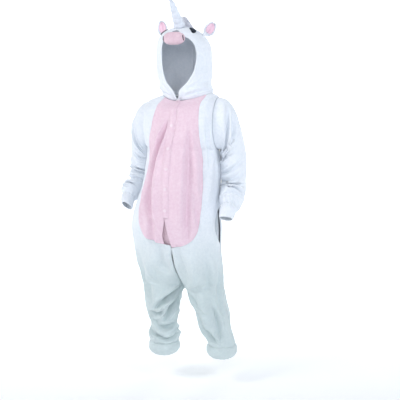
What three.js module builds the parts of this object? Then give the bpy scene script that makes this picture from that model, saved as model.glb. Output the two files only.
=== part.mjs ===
// A child's hooded unicorn onesie in plush fleece, held out in its worn form.
// Millimetres, +Z up. The wearer faces -Y and the wearer's left is +X.
// The origin is the middle of the neck opening, level with the tops of the shoulders.
import * as THREE from 'three';

const wall = 3;             // thickness of the plush cloth
const seam = 0.3;           // gap between two pieces at a seam
const lift = 0.8;           // clearance under a piece that lies on a panel

const white = { color: 0xe6edf6, roughness: 0.95, metalness: 0 };
const pink = { color: 0xe4cbdc, roughness: 0.95, metalness: 0 };
const dustyPink = { color: 0xd9bccb, roughness: 0.95, metalness: 0 };
const lavender = { color: 0xc6c8d6, roughness: 0.95, metalness: 0 };
const black = { color: 0x20242a, roughness: 0.8, metalness: 0 };
const palePlastic = { color: 0xf0dbe6, roughness: 0.4, metalness: 0 };

const sides = { left: 1, right: -1 };   // sign of x, seen from the wearer

const garment = new THREE.Group();

function addMesh(name, geometry, finish) {
  const mesh = new THREE.Mesh(geometry, new THREE.MeshStandardMaterial(finish));
  mesh.name = name;
  garment.add(mesh);
  return mesh;
}

// ---- tables and smooth values between their rows

function table(names, rows) {
  const columns = names.split(' ');
  return rows.map((row) => Object.fromEntries(columns.map((name, i) => [name, row[i]])));
}

// a slope that never lets the curve run past its rows
function easySlope(before, after) {
  if (before * after <= 0) return 0;
  return (2 * before * after) / (before + after);
}

function smoothValue(a, b, c, d, t) {
  const startSlope = easySlope(b - a, c - b);
  const endSlope = easySlope(c - b, d - c);
  const t2 = t * t;
  const t3 = t2 * t;
  return b * (2 * t3 - 3 * t2 + 1) + c * (3 * t2 - 2 * t3)
    + startSlope * (t3 - 2 * t2 + t) + endSlope * (t3 - t2);
}

// a smooth value along evenly numbered stations, carried straight on past both ends
function smoothAlong(valueAt, count, t) {
  const i = THREE.MathUtils.clamp(Math.floor(t), 0, count - 2);
  const b = valueAt(i);
  const c = valueAt(i + 1);
  const a = i > 0 ? valueAt(i - 1) : 2 * b - c;
  const d = i + 2 < count ? valueAt(i + 2) : 2 * c - b;
  return smoothValue(a, b, c, d, t - i);
}

function sample(rows, t) {
  const row = {};
  for (const name of Object.keys(rows[0])) {
    row[name] = smoothAlong((i) => rows[i][name], rows.length, t);
  }
  return row;
}

function samplePoint(points, t) {
  const pick = (axis) => smoothAlong((i) => points[i][axis], points.length, t);
  return new THREE.Vector3(pick('x'), pick('y'), pick('z'));
}

const quarter = Math.PI / 2;    // a quarter turn
const range = (count) => Array.from({ length: count + 1 }, (_, i) => i / count);

// ---- closed solids from grids of points

function geometryFrom(points, triangles) {
  const geometry = new THREE.BufferGeometry();
  const position = points.flatMap((p) => [p.x, p.y, p.z]);
  geometry.setAttribute('position', new THREE.Float32BufferAttribute(position, 3));
  geometry.setIndex(turnOutward(points, triangles).flat());
  geometry.computeVertexNormals();
  return geometry;
}

function turnOutward(points, triangles) {
  let volume = 0;
  for (const [a, b, c] of triangles) {
    volume += points[a].dot(points[b].clone().cross(points[c]));
  }
  return volume < 0 ? triangles.map(([a, b, c]) => [a, c, b]) : triangles;
}

function surfaceNormal(pointAt, u, v, facing) {
  const step = 0.002;
  const across = pointAt(u + step, v).sub(pointAt(u - step, v));
  const along = pointAt(u, v + step).sub(pointAt(u, v - step));
  return across.cross(along).normalize().multiplyScalar(facing);
}

// A sheet of cloth: its outer face is pointAt(u, v) for u over the columns and v over
// the rows, and its inner face lies one thickness inside. A tube joins its last column
// to its first. Open edges draw back by half the seam gap.
function clothWall(pointAt, { columns, rows, facing, tube = false, thick = wall, inset = seam / 2 }) {
  const outer = rows.map((v) => columns.map((u) => pointAt(u, v)));
  const inner = rows.map((v, j) => columns.map((u, i) => {
    const normal = surfaceNormal(pointAt, u, v, facing);
    return outer[j][i].clone().addScaledVector(normal, -thick);
  }));
  for (const face of [outer, inner]) drawBackEdges(face, inset, tube);
  return closeWall(outer, inner, tube);
}

function drawBackEdges(face, inset, tube) {
  const pull = (point, toward) => {
    const away = toward.clone().sub(point);
    point.addScaledVector(away.normalize(), inset);
  };
  const lastRow = face.length - 1;
  const lastColumn = face[0].length - 1;
  for (let i = 0; i <= lastColumn; i += 1) {
    pull(face[0][i], face[1][i]);
    pull(face[lastRow][i], face[lastRow - 1][i]);
  }
  if (tube) return;
  for (const line of face) {
    pull(line[0], line[1]);
    pull(line[lastColumn], line[lastColumn - 1]);
  }
}

function closeWall(outer, inner, tube) {
  const rowCount = outer.length;
  const columnCount = outer[0].length;
  const points = [...outer.flat(), ...inner.flat()];
  const innerStart = rowCount * columnCount;
  const index = (j, i) => j * columnCount + (i % columnCount);
  const triangles = [];
  const quad = (a, b, c, d) => triangles.push([a, b, c], [a, c, d]);
  const lastColumn = tube ? columnCount : columnCount - 1;
  for (let j = 0; j < rowCount - 1; j += 1) {
    for (let i = 0; i < lastColumn; i += 1) {
      const [a, b, c, d] = [index(j, i), index(j, i + 1), index(j + 1, i + 1), index(j + 1, i)];
      quad(a, b, c, d);
      quad(innerStart + d, innerStart + c, innerStart + b, innerStart + a);
    }
  }
  const rim = (a, b) => quad(b, a, innerStart + a, innerStart + b);
  for (let i = 0; i < lastColumn; i += 1) {
    rim(index(0, i), index(0, i + 1));
    rim(index(rowCount - 1, i + 1), index(rowCount - 1, i));
  }
  if (!tube) {
    for (let j = 0; j < rowCount - 1; j += 1) {
      rim(index(j + 1, 0), index(j, 0));
      rim(index(j, columnCount - 1), index(j + 1, columnCount - 1));
    }
  }
  return geometryFrom(points, triangles);
}

// a solid through rings of points, closed by a fan at each end
function loftSolid(rings) {
  const count = rings[0].length;
  const points = rings.flat();
  const triangles = [];
  for (let j = 0; j < rings.length - 1; j += 1) {
    for (let i = 0; i < count; i += 1) {
      const next = (i + 1) % count;
      const [a, b] = [j * count + i, j * count + next];
      triangles.push([a, b, b + count], [a, b + count, a + count]);
    }
  }
  const cap = (ring, start, flip) => {
    const centre = ring.reduce((sum, p) => sum.add(p), new THREE.Vector3()).divideScalar(count);
    points.push(centre);
    for (let i = 0; i < count; i += 1) {
      const [a, b] = [start + i, start + ((i + 1) % count)];
      triangles.push(flip ? [points.length - 1, b, a] : [points.length - 1, a, b]);
    }
  };
  cap(rings[0], 0, true);
  cap(rings[rings.length - 1], (rings.length - 1) * count, false);
  return geometryFrom(points, triangles);
}

// ---- the body: fronts, belly, backs

// Rings from the neck to the hips. front and back are distances from the middle, left
// and right are half widths with their own heights at the side, and shift is how far the
// button line strays to the left.
const torso = table('zFront zLeft zRight zBack front back left right shift', [
  [-16, 12, 10, 8, 64, 78, 110, 74, 3],              // neck seam
  [-30, 7, 0, -2, 92, 86, 123, 102, 3],              // yoke
  [-46, -4, -14, -24, 112, 92, 134, 131, 3],         // shoulder point, top of the armhole
  [-104, -96, -96, -96, 128, 95, 131, 131, 2],       // chest, middle of the armhole
  [-190, -188, -178, -190, 141, 96, 133, 128, -7],   // underarm
  [-240, -240, -240, -240, 147, 95, 136, 132, -10],
  [-300, -300, -300, -300, 152, 95, 138, 145, -13],  // waist
  [-360, -360, -360, -360, 155, 96, 139, 168, -13],
  [-420, -420, -420, -420, 155, 98, 141, 192, -13],  // top of the pockets
  [-480, -480, -480, -480, 146, 100, 145, 203, -8],
  [-540, -540, -540, -540, 128, 100, 144, 199, 2],   // foot of the belly panel
]);

// From the hips to the crotch point. inner is where the two halves meet, crest is the
// line down the front of each leg, and turn is the share of the cloth inside the crest.
const seatNames = 'z inner innerFront innerBack crest front back outer turn';
const seat = {
  left: table(seatNames, [
    [-600, 2.3, -100, 86, 36, 112, 96, 147, 0.12],
    [-645, 5.4, -66, 60, 58, 96, 90, 150, 0.25],
    [-672, 7.4, -34, 32, 70, 86, 84, 152, 0.38],
    [-688, 9.4, 0, 0, 78, 79, 78, 154, 0.5],
  ]),
  right: table(seatNames, [
    [-600, -1.7, -100, 86, 40, 114, 96, 186, 0.12],
    [-645, -4.6, -66, 60, 62, 100, 90, 168, 0.25],
    [-672, -6.6, -34, 32, 72, 90, 84, 158, 0.38],
    [-688, -8.6, 0, 0, 74, 84, 78, 155, 0.5],
  ]),
};

// Rings of each leg down to the cuff seam: centre x and y, half width and half depth.
const legNames = 'z x y wide deep';
const legs = {
  left: table(legNames, [
    [-750, 95, 2, 64, 68],
    [-810, 115, 8, 60, 63],
    [-850, 124, 14, 54, 58],
    [-890, 136, 20, 52, 55],
    [-914, 142, 22, 51, 53],
  ]),
  right: table(legNames, [
    [-750, 85, -6, 68, 72],
    [-810, 81, -10, 59, 62],
    [-846, 77, -12, 49, 54],    // pinched above the slump
    [-884, 76, -14, 61, 62],    // slump over the cuff
    [-912, 76, -14, 53, 54],
  ]),
};

const shoulderRow = 2;
const underarmRow = 4;
const crotchRow = torso.length + seat.left.length - 1;
const ankleRow = crotchRow + legs.left.length;

const armhole = {
  left: { z: -96, high: 92, deep: 58 },
  right: { z: -96, high: 82, deep: 57 },
};

function torsoHalf(row, name) {
  const inner = row.shift * sides[name] + seam / 2;
  return {
    zFront: row.zFront, zSide: name === 'left' ? row.zLeft : row.zRight, zBack: row.zBack,
    inner, innerFront: -row.front, innerBack: row.back,
    crest: inner, front: -row.front, back: row.back,
    outer: row[name], sideY: 0, turn: 0,
  };
}

function seatHalf(row) {
  return {
    zFront: row.z, zSide: row.z, zBack: row.z,
    inner: row.inner + seam / 2, innerFront: row.innerFront, innerBack: row.innerBack,
    crest: row.crest, front: -row.front, back: row.back,
    outer: row.outer, sideY: 0, turn: row.turn,
  };
}

function legHalf(row) {
  return {
    zFront: row.z, zSide: row.z, zBack: row.z,
    inner: row.x - row.wide, innerFront: row.y, innerBack: row.y,
    crest: row.x, front: row.y - row.deep, back: row.y + row.deep,
    outer: row.x + row.wide, sideY: row.y, turn: 0.5,
  };
}

const bodyRows = {};
for (const name of Object.keys(sides)) {
  bodyRows[name] = [
    ...torso.map((row) => torsoHalf(row, name)),
    ...seat[name].map(seatHalf),
    ...legs[name].map(legHalf),
  ];
}

// y of the armhole's edge, and its height, at a row between shoulder and underarm
function armholeEdge(name, t) {
  const { z, high, deep } = armhole[name];
  const angle = (Math.PI * (t - shoulderRow)) / (underarmRow - shoulderRow);
  return { y: deep * Math.sin(angle), z: z + high * Math.cos(angle) };
}

// A point of the body cloth: v runs from the middle line (0) to the side seam (1), and
// t is the row, from the neck (0) to the cuff seam of the leg.
function bodyBase(name, face, v, t) {
  const row = sample(bodyRows[name], t);
  const isFront = face === 'front';
  const crestY = isFront ? row.front : row.back;
  const riseY = isFront ? row.innerFront : row.innerBack;
  const innerY = t < crotchRow ? riseY : row.sideY;
  const crest = row.turn > 0 ? row.crest : row.inner;
  let { sideY, zSide } = row;
  if (t > shoulderRow && t < underarmRow) {
    const edge = armholeEdge(name, t);
    sideY = isFront ? -edge.y : edge.y;
    zSide = edge.z;
  }
  let x;
  let y;
  if (row.turn > 0 && v < row.turn) {
    const angle = (quarter * v) / row.turn;
    x = crest + (row.inner - crest) * Math.cos(angle);
    y = innerY + (crestY - innerY) * Math.sin(angle);
  } else {
    const angle = (quarter * (v - row.turn)) / (1 - row.turn);
    x = crest + (row.outer - crest) * Math.sin(angle);
    y = sideY + (crestY - sideY) * Math.cos(angle);
  }
  const zMiddle = isFront ? row.zFront : row.zBack;
  const z = zMiddle + (zSide - zMiddle) * Math.sin(quarter * v) ** 2;
  return new THREE.Vector3(x * sides[name], y, z);
}

const facingOf = (name, face) => sides[name] * (face === 'front' ? -1 : 1);

// Deep folds. Each runs from (v0, z0) down to (v1, z1); depth sinks it into the cloth
// and width is half its breadth, both in millimetres. reach is the cloth's span in v.
const folds = {
  left_front: table('v0 z0 v1 z1 depth width', [
    [0.34, -120, 0.32, -500, 7, 12],
    [0.55, -600, 0.45, -780, 6, 16],
    [0.2, -800, 0.75, -900, 6, 14],
  ]),
  right_front: table('v0 z0 v1 z1 depth width', [
    [0.1, -70, 0.44, -330, 9, 12],
    [0.44, -310, 0.33, -520, 10, 12],
    [0.05, -600, 0.6, -760, 7, 16],
    [0.1, -760, 0.62, -830, 7, 14],
  ]),
  left_back: table('v0 z0 v1 z1 depth width', [
    [0.5, -170, 0.3, -500, 8, 18],
    [0.6, -560, 0.3, -760, 7, 18],
  ]),
  right_back: table('v0 z0 v1 z1 depth width', [
    [0.55, -190, 0.4, -520, 8, 18],
    [0.5, -590, 0.7, -780, 7, 18],
  ]),
};
const reach = 200;
const seamFade = 0.12;       // share of v over which the folds die out at a seam

function foldDepth(rows, v, z) {
  let depth = 0;
  for (const fold of rows) {
    const along = (z - fold.z0) / (fold.z1 - fold.z0);
    if (along <= 0 || along >= 1) continue;
    const off = (v - fold.v0 - (fold.v1 - fold.v0) * along) * reach / fold.width;
    const fade = Math.sin(Math.PI * along) ** 0.6;
    const trough = Math.exp(-off * off) - 0.4 * Math.exp(-((Math.abs(off) - 1.7) ** 2));
    depth += fold.depth * fade * trough;
  }
  const fromSeam = Math.min(v, 1 - v);
  return depth * THREE.MathUtils.smoothstep(fromSeam, 0, seamFade);
}

function bodyPoint(name, face, v, t) {
  const base = bodyBase(name, face, v, t);
  const rows = folds[`${name}_${face}`];
  const depth = foldDepth(rows, v, base.z);
  if (depth === 0) return base;
  const plain = (a, b) => bodyBase(name, face, a, b);
  return base.addScaledVector(surfaceNormal(plain, v, t, facingOf(name, face)), -depth);
}

const armholeSteps = 7;
const armholeRows = range(armholeSteps).map((f) => shoulderRow + (underarmRow - shoulderRow) * f);
const bellyRows = [0, 1, ...armholeRows, 5, 6, 7, 8, 8.4, 8.8, 9.15, 9.4, 9.55];
const footRows = { left: [9.7, 9.8], right: [9.64, 9.68] };
const lowerRows = [9.9, 10.5, 11, 12, 13, 14, 14.6, 15.3, 16, 17, 17.5, 18, 18.5, ankleRow];

// Where the belly panel ends across the front, as a share of the way to the side seam.
const bellyWidth = table('left right', [
  [0.7, 0.55], [0.6, 0.42], [0.5, 0.34], [0.53, 0.41], [0.59, 0.53], [0.61, 0.53],
  [0.61, 0.47], [0.59, 0.44], [0.54, 0.42], [0.51, 0.41], [0.51, 0.41],
]);
const bellyFoot = { left: 9.88, right: 9.7 };   // row of its lowest point
const bellyRound = 8.2;                          // row where its foot starts to round
const footGap = 0.012;                           // rows between its foot and the white cloth

function bellyEdge(name, t) {
  const width = sample(bellyWidth, Math.min(t, bellyWidth.length - 1))[name];
  if (t <= bellyRound) return width;
  const down = (t - bellyRound) / (bellyFoot[name] - bellyRound);
  return width * Math.sqrt(Math.max(0, 1 - down * down));
}

// Below the last button the two halves of the belly part in a narrow slit.
const slit = { top: 8.06, long: 1.3, left: 0.012, right: 0.06 };

function slitEdge(name, t) {
  return slit[name] * THREE.MathUtils.smoothstep(t, slit.top, slit.top + slit.long);
}

// The side pocket's mouth is a stretch of the side seam where the front edge bows away.
const pocket = { top: 7.6, bottom: 9.9, bow: 0.19, bag: 0.5, deep: 16, thick: 1.5 };

function pocketBow(t) {
  if (t <= pocket.top || t >= pocket.bottom) return 0;
  const along = (t - pocket.top) / (pocket.bottom - pocket.top);
  return pocket.bow * Math.sin(Math.PI * along) ** 0.8;
}

for (const name of Object.keys(sides)) {
  const whiteStart = (t) => bellyEdge(name, t - footGap);
  const whiteFront = (u, t) => {
    const start = whiteStart(t);
    return bodyPoint(name, 'front', start + (1 - pocketBow(t) - start) * u, t);
  };
  const pinkRows = [...bellyRows, ...footRows[name]];
  const rows = [...pinkRows, ...lowerRows];
  const front = clothWall(whiteFront, { columns: range(6), rows, facing: facingOf(name, 'front') });
  addMesh(`front_${name}`, front, white);

  const pinkFront = (u, t) => {
    const start = slitEdge(name, t);
    return bodyPoint(name, 'front', start + (bellyEdge(name, t) - start) * u, t);
  };
  const belly = clothWall(pinkFront, {
    columns: range(4), rows: pinkRows, facing: facingOf(name, 'front'), inset: 2 * seam,
  });
  addMesh(`belly_${name}`, belly, pink);

  const whiteBack = (u, t) => bodyPoint(name, 'back', u, t);
  const back = clothWall(whiteBack, { columns: range(7), rows, facing: facingOf(name, 'back') });
  addMesh(`back_${name}`, back, white);
}

// ---- side pockets: a thin bag folded behind each mouth

const pocketRows = [7, 8, 8.4, 8.8, 9.15, 9.4, 9.55, 9.9, 10.5];

function pocketPoint(name, u, t) {
  const isFrontLayer = u < 0.5;
  const end = isFrontLayer ? 0.98 - pocketBow(t) : 0.985;
  const v = pocket.bag + (end - pocket.bag) * (1 - Math.sin(Math.PI * u));
  const span = pocketRows.at(-1) - pocketRows[0];
  const along = THREE.MathUtils.clamp((t - pocketRows[0]) / span, 0, 1);
  const spread = THREE.MathUtils.smoothstep(u, 0.2, 0.6) - THREE.MathUtils.smoothstep(u, 0.75, 1);
  const sag = pocket.deep * (0.4 + 0.6 * Math.sin(Math.PI * along)) * spread;
  const inside = wall + 3 * lift + pocket.thick + sag;
  const cloth = (a, b) => bodyBase(name, 'front', a, b);
  const normal = surfaceNormal(cloth, v, t, facingOf(name, 'front'));
  return cloth(v, t).addScaledVector(normal, -inside);
}

for (const name of Object.keys(sides)) {
  const bag = clothWall((u, t) => pocketPoint(name, u, t), {
    columns: range(10), rows: pocketRows, facing: facingOf(name, 'front'), thick: pocket.thick,
  });
  addMesh(`pocket_${name}`, bag, white);
}

// ---- leg cuffs: puffed bands gathered at top and foot

const legCuff = table('drop grow', [[0, 0], [9, 5], [25, 6], [39, 0], [48, -11]]);

for (const name of Object.keys(sides)) {
  const ankle = legs[name][legs[name].length - 1];
  const cuffPoint = (u, t) => {
    const { drop, grow } = sample(legCuff, t);
    const angle = 2 * Math.PI * u;
    const x = ankle.x + (ankle.wide + grow) * Math.cos(angle);
    const y = ankle.y + (ankle.deep + grow) * Math.sin(angle);
    return new THREE.Vector3(x * sides[name], y, ankle.z - drop);
  };
  const columns = range(16).slice(0, -1);
  const rows = [0, 1, 2, 3, 4];
  const cuff = clothWall(cuffPoint, { columns, rows, facing: -sides[name], tube: true });
  addMesh(`leg_cuff_${name}`, cuff, white);
}

// ---- sleeves and their cuffs

// Rings from the armhole down to the cuff's end: the outer line (over the shoulder and
// elbow), the inner line (under the arm), and deep, half the breadth from front to back.
const sleeveNames = 'xOuter yOuter zOuter xInner yInner zInner deep';
const sleeves = {
  left: table(sleeveNames, [
    [134, 0, -4, 129, 0, -188, 58],
    [165, 4, -14, 137, 6, -194, 62],
    [193, 12, -52, 136, 16, -206, 62],
    [211, 24, -110, 132, 30, -228, 62],
    [222, 36, -176, 132, 33, -254, 58],
    [227, 44, -242, 135, 33, -286, 57],
    [225, 36, -306, 138, 34, -326, 57],
    [224, 8, -350, 145, 10, -360, 56],
    [223, -20, -369, 147, -22, -377, 50],   // slump over the cuff
    [213, -36, -384, 161, -36, -389, 29],   // cuff seam
    [217, -43, -398, 158, -43, -402, 30],
    [213, -51, -416, 156, -51, -420, 29],
    [207, -57, -430, 158, -57, -431, 26],
  ]),
  right: table(sleeveNames, [
    [131, 0, -14, 128, 0, -178, 57],
    [160, 3, -28, 137, 4, -184, 59],
    [184, 9, -66, 139, 12, -196, 60],
    [203, 18, -122, 138, 26, -220, 60],
    [216, 30, -184, 140, 36, -248, 58],
    [226, 38, -248, 146, 40, -280, 57],
    [231, 26, -300, 156, 28, -316, 56],
    [241, -2, -342, 176, -4, -350, 50],
    [246, -16, -354, 184, -18, -361, 44],
    [238, -28, -364, 187, -30, -372, 28],
    [238, -38, -376, 187, -41, -384, 28],
    [234, -47, -388, 185, -52, -397, 27],
    [228, -54, -396, 184, -60, -406, 24],
  ]),
};
const cuffRow = 9;
const cuffEnd = 12;

function sleeveCentre(rows, t) {
  const row = sample(rows, t);
  const outer = new THREE.Vector3(row.xOuter, row.yOuter, row.zOuter);
  const inner = new THREE.Vector3(row.xInner, row.yInner, row.zInner);
  return { middle: outer.clone().add(inner).multiplyScalar(0.5), outer, deep: row.deep };
}

// The armhole's edge: around runs from the shoulder (0) down the front to the underarm
// (0.5) and up the back.
function armholePoint(name, around) {
  const down = around < 0.5 ? around * 2 : 2 - around * 2;
  const t = shoulderRow + (underarmRow - shoulderRow) * down;
  const point = bodyBase(name, around < 0.5 ? 'front' : 'back', 1, t);
  return new THREE.Vector3(point.x * sides[name], point.y, point.z);
}

function sleevePoint(name, u, t) {
  const rows = sleeves[name];
  const { middle, outer, deep } = sleeveCentre(rows, t);
  const step = 0.1;
  const along = sleeveCentre(rows, t + step).middle.sub(sleeveCentre(rows, t - step).middle).normalize();
  const toOuter = outer.clone().sub(middle);
  const toFront = along.cross(toOuter.clone().normalize()).normalize();
  const angle = 2 * Math.PI * u;
  const point = middle.addScaledVector(toOuter, Math.cos(angle));
  point.addScaledVector(toFront, deep * Math.sin(angle));
  const fromArmhole = 1 - THREE.MathUtils.smoothstep(t, 0, 1.5);
  if (fromArmhole > 0) {
    const edge = armholePoint(name, ((u % 1) + 1) % 1);
    edge.x += t * (rows[1].xOuter - rows[0].xOuter);
    point.lerp(edge, fromArmhole);
  }
  point.x *= sides[name];
  return point;
}

const sleeveColumns = range(2 * armholeSteps).slice(0, -1);
for (const name of Object.keys(sides)) {
  const shape = { columns: sleeveColumns, facing: sides[name], tube: true, inset: 2 * seam };
  const at = (u, t) => sleevePoint(name, u, t);
  const rows = [0, 0.5, 1, 2, 3, 4, 5, 6, 7, 7.5, 8, 8.5, cuffRow];
  addMesh(`sleeve_${name}`, clothWall(at, { ...shape, rows }), white);
  const cuff = clothWall(at, { ...shape, rows: [cuffRow, 10, 11, cuffEnd] });
  addMesh(`sleeve_cuff_${name}`, cuff, white);
}

// ---- the hood: two sides joined over the crown

// Rows from the neck up to the forehead: a point of the face edge, a point of the crown
// seam, and the half width between them on each side. xLeft and xRight place the two face
// edges.
const hood = table('xLeft xRight yFace zFace ySeam zSeam left right', [
  [5, 5, -64, -9, 78, 9, 112, 74],
  [9, 9, -72, 14, 84, 42, 107, 86],
  [44, 40, -70, 52, 96, 86, 104, 97],
  [66, 56, -63, 93, 105, 132, 103, 105],
  [73, 61, -60, 133, 108, 174, 101, 107],
  [70, 60, -62, 166, 100, 205, 94, 104],
  [58, 52, -69, 190, 76, 228, 82, 94],
  [42, 39, -76, 202, 38, 243, 67, 77],
  [26, 25, -81, 209, -4, 248, 50, 57],
  [12, 12, -84, 213, -42, 243, 31, 33],
  [4, 4, -85, 215, -68, 231, 14, 15],
]);
const neckLift = 0.8;        // the neck seam's gap
const neckStart = 0.015;     // the face edges nearly meet at the neck

function neckPoint(name, share) {
  const face = share < 0.5 ? 'front' : 'back';
  const v = share < 0.5 ? share * 2 : 2 - share * 2;
  const point = bodyBase(name, face, v, 0);
  point.x *= sides[name];
  point.z += neckLift;
  return point;
}

// One row of the hood is part of an ellipse through its two ends.
function hoodRow(row, name, s) {
  const wide = row[name];
  const xFace = name === 'left' ? row.xLeft : row.xRight;
  const start = Math.asin(Math.min(1, xFace / wide));
  const half = 1 / (1 + Math.cos(start));
  const angle = start + (Math.PI - start) * s;
  const along = half * (Math.cos(start) - Math.cos(angle));
  return new THREE.Vector3(
    wide * Math.sin(angle) + seam / 2,
    row.yFace + (row.ySeam - row.yFace) * along,
    row.zFace + (row.zSeam - row.zFace) * along,
  );
}

// A point of the hood: s runs from the face edge (0) to the crown seam (1), and t is the
// row, from the neck (0) up to the forehead.
function hoodPoint(name, s, t) {
  const points = hood.map((row, index) => (
    index === 0 ? neckPoint(name, neckStart + (1 - neckStart) * s) : hoodRow(row, name, s)
  ));
  const point = samplePoint(points, t);
  point.x *= sides[name];
  return point;
}

function onHood(name, s, t, offset) {
  const at = (a, b) => hoodPoint(name, a, b);
  return at(s, t).addScaledVector(surfaceNormal(at, s, t, sides[name]), offset);
}

for (const name of Object.keys(sides)) {
  const at = (s, t) => hoodPoint(name, s, t);
  const shell = clothWall(at, {
    columns: range(9), rows: hood.map((_, i) => i), facing: sides[name], inset: 0,
  });
  addMesh(`hood_${name}`, shell, white);
}

// ---- what is sewn on the hood

// A stuffed form: a ball squared up by power, and stretched to its three sizes.
function stuffed({ wide, deep, high, power, around, down }) {
  const geometry = new THREE.SphereGeometry(1, around, down);
  const position = geometry.attributes.position;
  for (let i = 0; i < position.count; i += 1) {
    const p = new THREE.Vector3().fromBufferAttribute(position, i);
    const sum = Math.abs(p.x) ** power + Math.abs(p.y) ** power + Math.abs(p.z) ** power;
    p.multiplyScalar(sum ** (-1 / power));
    position.setXYZ(i, (p.x * wide) / 2, (p.y * deep) / 2, (p.z * high) / 2);
  }
  return geometry;
}

const muzzle = {
  wide: 76, deep: 38, high: 43, power: 3, around: 20, down: 12, x: 8, y: -107, z: 196,
};
const muzzleShape = stuffed(muzzle);
addMesh('muzzle', muzzleShape, dustyPink).position.set(muzzle.x, muzzle.y, muzzle.z);

// The size of one step of s and of t on the hood, in millimetres.
function hoodSteps(name, s, t) {
  const step = 0.01;
  const acrossStep = hoodPoint(name, s - step, t).distanceTo(hoodPoint(name, s, t)) / step;
  const upStep = hoodPoint(name, s, t - step).distanceTo(hoodPoint(name, s, t)) / step;
  return { acrossStep, upStep };
}

const horn = {
  row: 9.0, aside: 3, foot: 18.5, length: 122, forward: 38, sideways: 4, bands: 6, puff: 1.2,
};
const hornSides = 16;
const hornStations = [0.08, 0.17, 0.25, 0.33, 0.42, 0.5, 0.58, 0.67, 0.75, 0.83, 0.92, 0.97, 0.995];

function hornRadius(along) {
  const taper = horn.foot * (1 - 0.72 * along) * Math.sqrt(Math.max(0, 1 - along ** 9));
  return taper + horn.puff * Math.abs(Math.sin(Math.PI * horn.bands * along));
}

function hornRings() {
  const { acrossStep, upStep } = hoodSteps('left', 1, horn.row);
  const forward = THREE.MathUtils.degToRad(horn.forward);
  const sideways = THREE.MathUtils.degToRad(horn.sideways);
  const axis = new THREE.Vector3(-Math.sin(sideways), -Math.sin(forward), Math.cos(forward)).normalize();
  const right = new THREE.Vector3(1, 0, 0).addScaledVector(axis, -axis.x).normalize();
  const rear = axis.clone().cross(right);
  const base = onHood('left', 1 - horn.aside / acrossStep, horn.row, 0);
  const rings = [0.06, 0.6, 1].map((size) => range(hornSides).slice(0, -1).map((f) => {
    const angle = 2 * Math.PI * f;
    const across = horn.aside + horn.foot * size * Math.cos(angle);
    const down = horn.foot * size * Math.sin(angle);
    const name = across >= 0 ? 'left' : 'right';
    return onHood(name, 1 - Math.abs(across) / acrossStep, horn.row - down / upStep, lift);
  }));
  for (const along of hornStations) {
    const radius = hornRadius(along);
    rings.push(range(hornSides).slice(0, -1).map((f) => {
      const angle = 2 * Math.PI * f;
      return base.clone().addScaledVector(axis, horn.length * along)
        .addScaledVector(right, radius * Math.cos(angle))
        .addScaledVector(rear, radius * Math.sin(angle));
    }));
  }
  return rings;
}
addMesh('horn', loftSolid(hornRings()), white);

// The mane stands on the crown seam, from behind the horn down to the nape.
const mane = table('row high wide', [
  [8.3, 6, 9],
  [8.1, 38, 12],
  [7.7, 45, 14],
  [7, 37, 14],
  [6, 29, 14],
  [5, 24, 14],
  [4, 23, 14],
  [3, 22, 14],
  [2, 20, 13],
  [1.2, 12, 9],
]);
const maneOutline = table('across up', [
  [-1, 0], [-1.05, 0.45], [-0.75, 0.85], [0, 1], [0.75, 0.85], [1.05, 0.45], [1, 0], [0, 0],
]);

const maneRings = mane.map(({ row, high, wide }) => {
  const at = (s, t) => hoodPoint('left', s, t);
  const up = surfaceNormal(at, 1, row, sides.left);
  up.x = 0;
  up.normalize();
  const foot = at(1, row).addScaledVector(up, lift);
  foot.x = 0;
  return maneOutline.map((p) => foot.clone()
    .addScaledVector(up, p.up * high)
    .add(new THREE.Vector3(p.across * wide, 0, 0)));
});
addMesh('mane', loftSolid(maneRings), lavender);

// Each ear is a cupped leaf standing on the corner of the crown, with a pink lining in
// its hollow. share and row place its two lower corners on the hood.
const ear = {
  left: { frontShare: 0.34, frontRow: 6.25, backShare: 0.55, backRow: 6.0, outward: 34, turned: 38 },
  right: { frontShare: 0.45, frontRow: 6.4, backShare: 0.65, backRow: 6.15, outward: 10, turned: 4 },
  long: 56, wide: 38, cup: 10, root: 0.22, lining: 0.8, clear: 2.5,
};

function earPoint(name, u, v, share) {
  const place = ear[name];
  const lean = THREE.MathUtils.degToRad(place.outward);
  const turned = THREE.MathUtils.degToRad(place.turned);
  const across = new THREE.Vector3(Math.cos(turned), Math.sin(turned), 0);
  const forward = new THREE.Vector3(Math.sin(turned), -Math.cos(turned), 0);
  const axis = new THREE.Vector3(0, 0, Math.cos(lean)).addScaledVector(across, Math.sin(lean));
  across.multiplyScalar(Math.cos(lean)).add(new THREE.Vector3(0, 0, -Math.sin(lean)));
  const side = (2 * u - 1) * share;
  const rise = (1 - share) * 1.2 + v * (1 - (1 - share) * 1.5);
  const leaf = (0.66 + 0.34 * Math.sin(Math.PI * v)) * Math.sqrt(Math.max(0, 1 - (0.985 * v) ** 4));
  const foot = (f) => {
    const s = THREE.MathUtils.lerp(place.frontShare, place.backShare, f);
    const t = THREE.MathUtils.lerp(place.frontRow, place.backRow, f);
    const point = onHood(name, s, t, ear.clear);
    return point.setX(point.x * sides[name]);
  };
  const middle = foot(0.5);
  const point = middle.clone()
    .addScaledVector(axis, ear.long * rise)
    .addScaledVector(across, side * (ear.wide / 2) * leaf)
    .addScaledVector(forward, ear.cup * side * side);
  const rooted = 1 - THREE.MathUtils.smoothstep(rise, 0, ear.root);
  point.lerp(foot(0.5 + side / 2), rooted);
  point.x *= sides[name];
  return point;
}

for (const name of Object.keys(sides)) {
  const options = { columns: range(6), rows: range(7), facing: sides[name], inset: 0 };
  const outer = (u, v) => earPoint(name, u, v, 1);
  addMesh(`ear_${name}`, clothWall(outer, options), white);
  const lining = (u, v) => {
    const leaf = (a, b) => earPoint(name, a, b, ear.lining);
    return leaf(u, v).addScaledVector(surfaceNormal(leaf, u, v, sides[name]), wall + 2 * lift);
  };
  addMesh(`ear_lining_${name}`, clothWall(lining, options), pink);
}

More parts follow.
